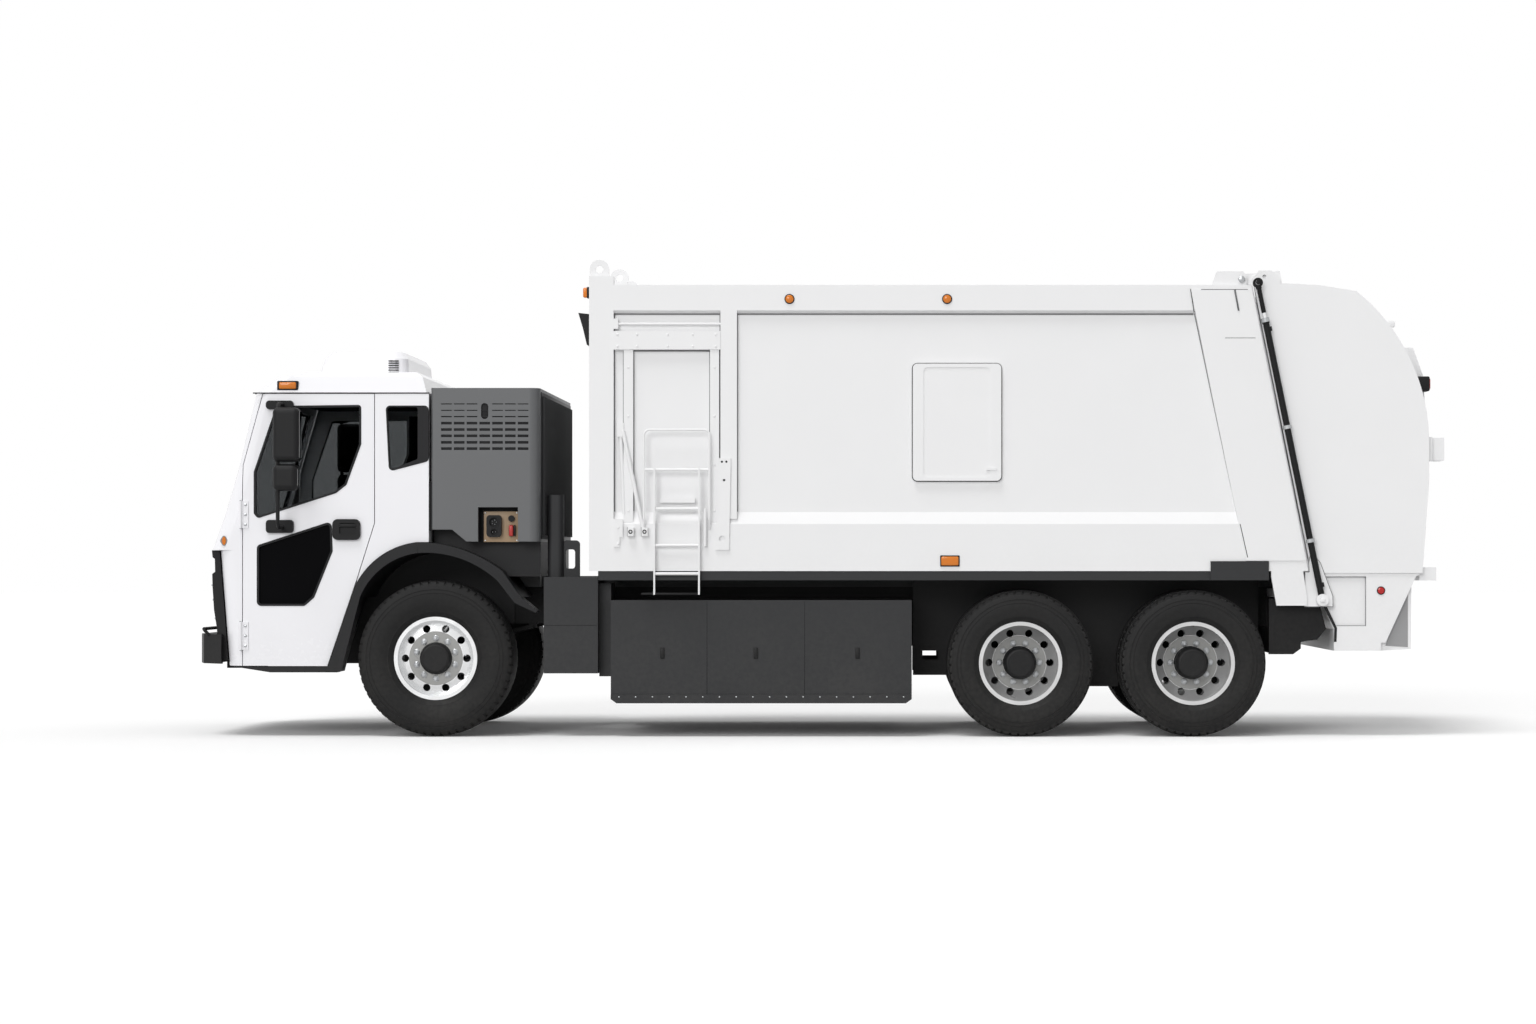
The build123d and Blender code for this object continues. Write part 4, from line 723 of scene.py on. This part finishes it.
middleShapes = {
    "boxRear": -2.006, "finPitch": 0.058,
    # each slot's middle and its height
    "slotRows": ((2.389, 0.007), (2.343, 0.007), (2.298, 0.009), (2.251, 0.019), (2.205, 0.019),
        (2.16, 0.019), (2.113, 0.019), (2.068, 0.019)),
    "portPanel": (-2.414, -2.162, 1.397, 1.619), "portY": -1.115,
    "sockets": ((1.54, 0.034, 0.04), (1.47, 0.022, 0.027)), "socketX": -2.336,
    "recess": ((-2.446, -2.161, -1.0995, -1.0955, 1.396, 1.647),
        (-2.4465, -2.443, -1.184, -1.096, 1.396, 1.647), (-2.446, -2.161, -1.184, -1.096, 1.644, 1.6475)),
    "flangeScrews": (-1.43, 0.61, 18), "panelSeams": (-0.8, -0.1), "latches": (-1.12, -0.45, 0.28),
}


def middleDetails():
    s = middleShapes
    rear = s["boxRear"]
    # painted shade: the power box's rear plate and fins in dark paint, darker than the box's sides, for the
    # face turned from the lamps
    fins = [slab(rear - 0.002, rear + 0.006, -1.085, 1.085, 1.42, 2.48)]
    fins += [slab(rear + 0.004, rear + 0.022, y - 0.004, y + 0.004, 1.45, 2.45, 0.001)
             for y in np.arange(-1.045, 1.05, s["finPitch"])]
    makePiece("box_rear_shade_plate", fins, "darkPaint")
    makePair("box_front_strips", [slab(-2.842, -2.7855, -1.184, -1.14, 1.476, 1.834, 0.004)], "trim")

    # the charging place: its panel, sockets' faces, screws and the red release handle
    (x0, x1, z0, z1), y, x = s["portPanel"], s["portY"], s["socketX"]
    panel = slab(x0 + 0.001, x1 - 0.001, y - 0.002, y + 0.001, z0 + 0.001, z1 - 0.001, 0.001)
    makePiece("port_panel", [panel], "tanPanel")
    pins = [(x + 0.016 * math.cos(a), -1.1362, 1.54 + 0.016 * math.sin(a)) for a in circle(5)]
    pins += [(-2.346, -1.1362, 1.47), (-2.326, -1.1362, 1.47)]
    makePiece("port_pins", studs(pins, 0.0042, 0.01), "zinc")
    rings = [band(r0, r1, 1.1555, 1.16, (x, 0, z), steps=36) for z, r0, r1 in s["sockets"]]
    makePiece("port_recess", [slab(*box, 0.001) for box in s["recess"]] + rings, "trim")
    # painted shade: dark strips behind the box's slots and its upper opening, standing for the shade inside
    # them
    behind = [slab(-2.712, -2.085, -1.178, -1.156, z - h / 2 - 0.001, z + h / 2 + 0.001, 0.0005)
              for z, h in s["slotRows"]]
    behind.append(slab(-2.427, -2.371, -1.172, -1.15, 2.279, 2.397, 0.001))
    makePair("box_slot_shade_backs", behind, "seal")
    corners = [(x, y - 0.002, z) for x in (x0 + 0.012, x1 - 0.012) for z in (z0 + 0.012, z1 - 0.012)]
    makePiece("port_screws", studs(corners, 0.006, 0.003), "zinc")
    makePiece("port_release", [slab(-2.2315, -2.1975, -1.1475, -1.1135, 1.4385, 1.5205, 0.009, 3)],
              "redPlastic")
    makePiece("port_guard", [slab(-2.195, -2.184, -1.145, -1.1135, 1.44, 1.52, 0.003)], "trim")

    places = [(x, -1.2368, 0.287) for x in np.linspace(*s["flangeScrews"])]
    makePair("flange_screws", studs(places, 0.0055, 0.003), "zinc")
    seams = [slab(x - 0.002, x + 0.002, -1.2262, -1.224, 0.3, 0.975, 0.0005) for x in s["panelSeams"]]
    seams += [slab(-1.962, -1.59, -1.2262, -1.224, 0.798, 0.802, 0.0005),
              slab(-2.88, -2.875, -1.2215, -1.219, 1.32, 1.396, 0.0005)]
    makePair("box_seams", seams, "seal")
    latches = [slab(x - 0.016, x + 0.016, -1.233, -1.224, 0.56, 0.64, 0.004) for x in s["latches"]]
    makePair("box_latches", latches, "trim")


middleDetails()
print("middle details made")

bodyShapes = {
    "face": -1.24, "sheet": -1.2, "bolster": -1.248,
    "roundLamps": ((-0.208, 3.138), (0.921, 3.138)), "lampRadius": 0.036,
    # (part of the lamp's radius, height)
    "lens": ((0, 0), (0.84, 0), (0.8, 0.01), (0.55, 0.015), (0, 0.017)),
    "ring": ((0.8, 0), (1, 0), (1, 0.006), (0.86, 0.01), (0.8, 0.01)),
    "oblongLamp": (0.871, 1.011, 1.221, 1.301),
    "hatch": [(0.675, 2.676), (1.31, 2.676), (1.31, 1.836), (0.675, 1.836)], "hatchCorner": 0.034,
    "wedge": [(-1.723, 3.04), (-1.646, 3.032), (-1.646, 2.8), (-1.662, 2.812), (-1.69, 2.93)],
    "lug": (-1.484, 3.348, 0.066, 0.027),
    "postEdgeShades": ([(2.662, 3.21), (2.6675, 3.21), (2.6935, 3.041), (2.688, 3.041)],
        [(3.017, 1.526), (3.0225, 1.526), (3.0765, 1.287), (3.071, 1.287)]),
    "bolsterShadeLines": ((2.741, 3.075, 3.204, 3.208), (2.912, 3.13, 2.857, 2.8605)),
    # X and Z spans of painted shade lines; the near ones are on the driver's side only
    "nearShadeLines": ((-1.397, -0.713, 2.764, 2.776), (-1.329, -1.323, 1.62, 2.77), (-0.785, -0.778, 1.62, 2.77),
        (-1.404, -1.397, 1.62, 2.77)),
    "shadeLines": ((-1.469, -1.461, 1.616, 3.03), (-0.711, -0.703, 1.616, 3.03), (-0.585, -0.579, 1.616, 3.03),
        (-1.469, -0.703, 3.026, 3.037), (-0.585, 2.69, 3.026, 3.037)),
    "slantShadeLine": [(2.693, 3.036), (2.7, 3.036), (3.0, 1.616), (2.993, 1.616)],
    "strapHoleShades": ((-0.692, 1.972), (-0.66, 1.972), (-0.676, 1.84)), "clevises": (-1.366, -1.266),
}


def bodyDetails():
    s = bodyShapes
    face, sheet, r, bolster = s["face"], s["sheet"], s["lampRadius"], s["bolster"]
    lens, ring = [[(k * r, h - face) for k, h in s[name]] for name in ("lens", "ring")]
    lenses = [lathe(lens, (x, 0, z)) for x, z in s["roundLamps"]]
    rims = [lathe(ring, (x, 0, z), closed=True) for x, z in s["roundLamps"]]
    x0, x1, z0, z1 = s["oblongLamp"]
    lenses += [slab(x0 + 0.008, x1 - 0.008, face - 0.017, face, z0 + 0.008, z1 - 0.008, 0.012, 4),
               slab(-1.69, -1.652, -1.222, -1.17, 3.15, 3.222, 0.012, 4)]
    rims += [slab(x0, x1, face - 0.008, face + 0.001, z0, z1, 0.007, 3),
             slab(-1.662, -1.643, -1.226, -1.166, 3.146, 3.226, 0.004)]
    makePair("side_marker_lenses", lenses, "amber")
    makePair("side_marker_rims", rims, "seal")

    # two more lifting lugs on the front wall's top
    x, z, outer, hole = s["lug"]
    lug = [band(hole, outer, 0.508, 0.532, (x, 0, z), steps=40),
           slab(x - 0.062, x + 0.062, -0.5315, -0.5085, 3.236, z - 0.034)]
    makePair("header_lugs", lug, "bodyPaint")

    # painted shade: a dark gap round the inspection cover, on the driver's side only
    cover = roundCorners(s["hatch"], s["hatchCorner"])
    seal = ringPlate(grown(cover, 0.006), grown(cover, -0.001), sheet + 0.001, sheet - 0.004)
    makePiece("hatch_shade_gap", [seal], "seal")
    makePair("post_wedges", [plate(s["wedge"], -1.225, -1.14, 0.003)], "trim")
    # painted shade: dark lines along the post edges, the bolster's top groove and its panel line
    thin = [plate(line, bolster + 0.001, bolster - 0.0008) for line in s["postEdgeShades"]]
    thin += [slab(x0, x1, bolster - 0.0008, bolster + 0.001, z0, z1, 0.0004)
             for x0, x1, z0, z1 in s["bolsterShadeLines"]]
    makePair("bolster_shade_lines", thin, "seal")
    strap = spun([slab(2.989, 3.001, -1.256, -1.2465, 3.052, 3.204)], (2.995, 0, 3.13),
                 math.radians(-10.5), "y")
    makePair("bolster_straps", strap, "greyPaint")

    # painted shade: thin grey lines under the top rail and the ladder frame's beam and beside the posts,
    # where sheets and posts meet and shade falls
    y0, y1 = sheet - 0.003, sheet + 0.001
    near, both = [[slab(x0, x1, y0, y1, z0, z1, 0.0008) for x0, x1, z0, z1 in s[name]]
                  for name in ("nearShadeLines", "shadeLines")]
    both.append(plate(s["slantShadeLine"], y1, y0))
    makePiece("painted_shade_lines", near + bothSides(both), "shadeLineGrey")
    # painted shade: dark dots for the shade in the strap's holes
    holes = [(x, face - 0.0005, z) for x, z in s["strapHoleShades"]]
    makePiece("strap_hole_shades", studs(holes, 0.0075, 0.0012), "seal")

    # the ladder's dark tread, its pins and the bolts of the frame round it
    makePiece("ladder_tread", [slab(-1.2665, -0.8475, -1.288, -1.2645, 1.018, 1.034, 0.003),
                               slab(-1.25, -0.86, -1.266, -1.23, 1.024, 1.032)], "blackPaint")
    pins = [(x, -1.2465, z) for x in (-1.44, -1.3, -1.08, -0.9, -0.735) for z in (2.8, 2.885)]
    pins += [(x, -1.2362, z) for x in (-1.363, -0.746) for z in (1.62, 1.95, 2.3, 2.65)]
    pins += [(-1.436, -1.2522, z) for z in (1.385, 1.5)]
    makePiece("ladder_bolts", studs(pins, 0.009, 0.005), "bodyPaint")
    # painted shade: dark rings and lines round the ladder's clevises, where shade falls at their edges
    lines = [band(0.008, 0.015, 1.282, 1.285, (x + 0.022, 0, 1.47), steps=20) for x in s["clevises"]]
    lines += [slab(x - 0.002, x, -1.2835, -1.237, 1.438, 1.502, 0.0008) for x in s["clevises"]]
    makePiece("ladder_clevis_shade_lines", lines, "trim")


bodyDetails()
print("body details made")

tailShapes = {
    "lowerSide": 1.188, "lampRow": 4.412, "red": (4.037, 1.049, 0.03), "hinge": (3.034, 3.281),
    "lens": ((0, 0), (0.82, 0), (0.82, 0.006), (0.5, 0.01), (0, 0.011)),
    "rim": ((0.8, -0.001), (1, -0.001), (1, 0.005), (0.8, 0.007)),
    "rowLenses": {"red": (-0.86, -0.64), "amber": (-0.62, -0.45), "clear": (-0.43, -0.27)},
    "cover": [(4.18, 2.832), (4.355, 2.829), (4.428, 2.626), (4.44, 2.45), (4.462, 2.283), (4.462, 2.0),
        (4.405, 2.0), (4.395, 2.16), (4.33, 2.5)],
    "mount": [(3.516, 1.185), (3.512, 1.25), (3.53, 1.333), (3.6, 1.25), (3.69, 1.01), (3.69, 0.931),
        (3.486, 0.931), (3.486, 1.185)],
    "cheek": [(4.236, 1.15), (4.236, 0.642), (4.075, 0.652)],
    "pocket": ((3.926, 3.93, 0.796, 1.149), (3.716, 3.93, 0.7945, 0.7985), (3.56, 3.93, 1.146, 1.15)),
    "seamShadeStrip": [(3.596, 0.99), (3.622, 0.99), (3.722, 0.78), (3.718, 0.68), (3.7, 0.68), (3.703, 0.776)],
}


def tailDetails():
    s, row = tailShapes, tailShapes["lampRow"]
    (x, z, r), y = s["red"], s["lowerSide"]
    lens, rim = [[(k * r, y + h) for k, h in s[name]] for name in ("lens", "rim")]
    glass = {name: [slab(row - 0.002, row + 0.014, y0, y1, 2.01, 2.125, 0.012, 3)]
             for name, (y0, y1) in s["rowLenses"].items()}
    reds = [lathe(lens, (x, 0, z)), *glass["red"], slab(4.45, 4.464, -0.745, -0.625, 2.52, 2.596, 0.006, 3)]
    rims = [lathe(rim, (x, 0, z), closed=True),
            slab(row - 0.002, row + 0.007, -0.87, -0.25, 2.0, 2.135, 0.006, 3),
            slab(4.33, 4.458, -0.76, -0.61, 2.503, 2.612, 0.012, 3)]
    makePair("tail_red_lenses", reds, "red", "tailgate")
    makePair("tail_lamp_frames", rims, "trim", "tailgate")
    makePair("tail_amber_lenses", glass["amber"], "amber", "tailgate")
    makePair("tail_clear_lenses", glass["clear"], "lens", "tailgate")
    bracket = slab(4.05, 4.145, -1.145, -1.085, 2.945, 2.988, 0.004)
    makePair("tail_brackets", [bracket], "bodyPaint", "tailgate")
    makePiece("tail_cover", [plate(s["cover"], -0.62, 0.6, 0.006), plate(s["cover"], 0.6, 0.62, 0.006)],
              "bodyPaint", "tailgate")
    # grab rails on the cover's back
    bars = [pipe([(4.462, y, 2.06), (4.492, y, 2.085), (4.492, y, 2.24), (4.455, y, 2.262)], 0.01)
            for y in (-0.3, 0.3)]
    makePiece("tail_grab_rails", bars, "zinc", "tailgate")
    # painted shade: a grey plate on each hopper cheek, which stands in shadow behind the side
    makePair("hopper_cheek_shade_plates", [plate(s["cheek"], -1.15, -1.153, 0.001)], "hopperShadeGrey", "tailgate")
    # painted shade: grey lines round the lower side's pocket, where its edges fall into shade
    pocket = [slab(x0, x1, -1.189, -1.17, z0, z1, 0.0005) for x0, x1, z0, z1 in s["pocket"]]
    makePair("gate_pocket_shade_lines", pocket, "shadeLineGrey", "tailgate")
    # painted shade: a grey line round the cylinder's mount
    mount = np.array(s["mount"])
    makePair("cylinder_mount_shade_lines", [ringPlate(mount, grown(mount, -0.0045), -1.2188, -1.2206)], "shadeLineGrey")
    # painted shade: dark strips along the gate's seam and the lower side's top edge
    strips = [plate(s["seamShadeStrip"], -1.187, -1.1895),
              slab(3.955, 4.33, -1.189, -1.1875, 1.1735, 1.1765, 0.0005)]
    makePair("gate_seam_shade_strips", strips, "seal", "tailgate")
    x, z = s["hinge"]
    head = [(0, 1.222), (0.024, 1.222), (0.024, 1.228), (0.018, 1.232), (0, 1.233)]
    makePair("hinge_heads", [lathe(head, (x, 0, z), steps=24)], "zinc")


tailDetails()

cylinderShapes = {
    "base": (3.608, -1.254, 0.982), "eye": (3.146, -1.254, 3.253), "baseCapY": -1.29, "eyeCapY": -1.286,
    "collars": ((0.0292, 0.0318, 0.42, 0.446), (0.0292, 0.0318, 1.25, 1.276), (0.0275, 0.03, 2.03, 2.059)),
    "sleeve": [(0.0117, 2.098), (0.015, 2.098), (0.0165, 2.104), (0.0165, 2.27), (0.0215, 2.276),
        (0.0215, 2.286), (0.0117, 2.286)],
    "ports": (0.09, 1.96),
    "foot": [(0.0403, 1.2275), (0.043, 1.2275), (0.043, 1.2815), (0.0205, 1.2815), (0.0205, 1.2803),
        (0.0403, 1.2803)],
    "clevis": [(0.0322, 1.2335), (0.035, 1.2335), (0.035, 1.2755), (0.017, 1.2755), (0.017, 1.2742),
        (0.0322, 1.2742)],
    "cap": [(0, 0.0), (0.0165, 0.0), (0.0165, 0.004), (0.012, 0.006), (0, 0.006)],
}


def cylinderPieces():
    # each cylinder: the barrel's collars, ports and foot, the rod's clevis and sleeve, both pins' caps
    s = cylinderShapes
    base, eye, origin = np.array(s["base"]), np.array(s["eye"]), (0, 0, 0)
    lean = math.atan2(eye[0] - base[0], eye[2] - base[2])

    def onBarrel(parts):
        return spun(moved(parts, base), base, lean, "y")

    cap = [lathe(s["cap"], origin, steps=24)]
    collars = onBarrel([band(*size, origin, "z", 1) for size in s["collars"]])
    ports = onBarrel([slab(0.012, 0.034, -0.012, 0.012, h, h + 0.034, 0.004) for h in s["ports"]])
    foot = lathe(s["foot"], (base[0], 0, base[2]), steps=40, closed=True)
    clevis = lathe(s["clevis"], (eye[0], 0, eye[2]), steps=28, closed=True)
    pieces = (
        ("barrel_collars", collars, "zinc", "barrel"), ("barrel_ports", ports, "blackPaint", "barrel"),
        ("barrel_foot", [foot], "bodyPaint", "barrel"),
        ("barrel_pin_cap", moved(cap, [base[0], s["baseCapY"], base[2]]), "bodyPaint", None),
        ("rod_pin_cap", moved(cap, [eye[0], s["eyeCapY"], eye[2]]), "blackPaint", "rod"),
        ("rod_clevis", [clevis], "blackPaint", "rod"),
        ("rod_sleeve", onBarrel([lathe(s["sleeve"], origin, "z", 1, closed=True)]), "blackPaint", "rod"))
    for side in sides:
        for name, parts, look, half in pieces:
            makePiece(f"{name}_{side}", flipped(parts) if side == "right" else parts, look,
                      f"lift_{half}_{side}" if half else "chassis")


cylinderPieces()
print("tail details made")


stageSizes = {
    "floorHalf": 120.0,
    "floorTone": 0.99,
    "floorBounce": 0.6,       # the floor's tone for the light that it sends on to the truck
    "floorLift": 0.03,        # what the camera and reflections see on top of the floor's own light
    "skyLevel": 0.46,
    "suns": (("overheadLight", (-2.5, -3.4, 10.0), 1.32, 24.0),
        ("sideLight", (-3.6, -11.0, 4.4), 1.06, 26.0), ("backLight", (5.0, 9.0, 8.0), 0.26, 60.0)),
    "nearSide": -1.24,        # the plane that the view's width is given in
    "viewWidth": 11.005,
    "sensor": 36.0,
    "distance": 24.0,
    "eye": (0.548, 1.232),    # the camera's X and height
    "centre": (-0.362, 1.612),
}


def seenRays(tree):
    # the light path, and a value that is 1 for what is seen straight, mirrored or through glass
    path = addNode(tree, "LightPath")
    direct = maths(tree, "MAXIMUM", path["Is Camera Ray"], path["Is Glossy Ray"])
    return path, maths(tree, "MAXIMUM", direct, path["Is Transmission Ray"])


def buildStage(s):
    half, scene = s["floorHalf"], bpy.context.scene
    floor = bpy.data.objects.new("floor", bpy.data.meshes.new("floor"))
    floor.data.from_pydata([(-half, -half, 0), (half, -half, 0), (half, half, 0), (-half, half, 0)], [],
            [(0, 1, 2, 3)])
    scene.collection.objects.link(floor)
    tree, shader = newMaterial("floorWhite")
    path, seen = seenRays(tree)
    tone = addNode(tree, "MapRange", {0: path["Is Diffuse Ray"], 3: s["floorTone"], 4: s["floorBounce"]})[0]
    setInputs(tree, shader, {"Base Color": tone, "Roughness": 1.0, "Specular IOR Level": 0.0,
            "Emission Color": (1, 1, 1, 1),
            "Emission Strength": maths(tree, "MULTIPLY", seen, s["floorLift"])})
    floor.data.materials.append(looks["floorWhite"])

    scene.world = bpy.data.worlds.new("studio")
    scene.world.use_nodes = True
    tree = scene.world.node_tree
    level = addNode(tree, "MapRange", {0: seenRays(tree)[1], 3: s["skyLevel"], 4: 1.0})[0]
    setInputs(tree, tree.nodes["Background"].inputs, {"Color": (1, 1, 1, 1), "Strength": level})

    # large soft lamps, far enough off to light the floor evenly; each aims at the origin
    for name, place, strength, spread in s["suns"]:
        lamp = bpy.data.lights.new(name, "SUN")
        lamp.energy, lamp.angle = strength, math.radians(spread)
        holder = bpy.data.objects.new(name, lamp)
        scene.collection.objects.link(holder)
        holder.location = place
        pitch = math.atan2(math.hypot(place[0], place[1]), place[2])
        holder.rotation_euler = (pitch, 0, math.atan2(place[0], -place[1]))

    lens = bpy.data.cameras.new("camera")
    camera = bpy.data.objects.new("camera", lens)
    scene.collection.objects.link(camera)
    scene.camera = camera
    (x, z), width = s["eye"], s["viewWidth"]
    lens.sensor_width, lens.clip_end = s["sensor"], 300.0
    lens.lens = s["sensor"] * s["distance"] / width
    camera.location = (x, s["nearSide"] - s["distance"], z)
    camera.rotation_euler = (math.pi / 2, 0, 0)
    lens.shift_x, lens.shift_y = (s["centre"][0] - x) / width, (s["centre"][1] - z) / width


buildStage(stageSizes)
bpy.context.scene.view_settings.view_transform = "Standard"
print("stage set")
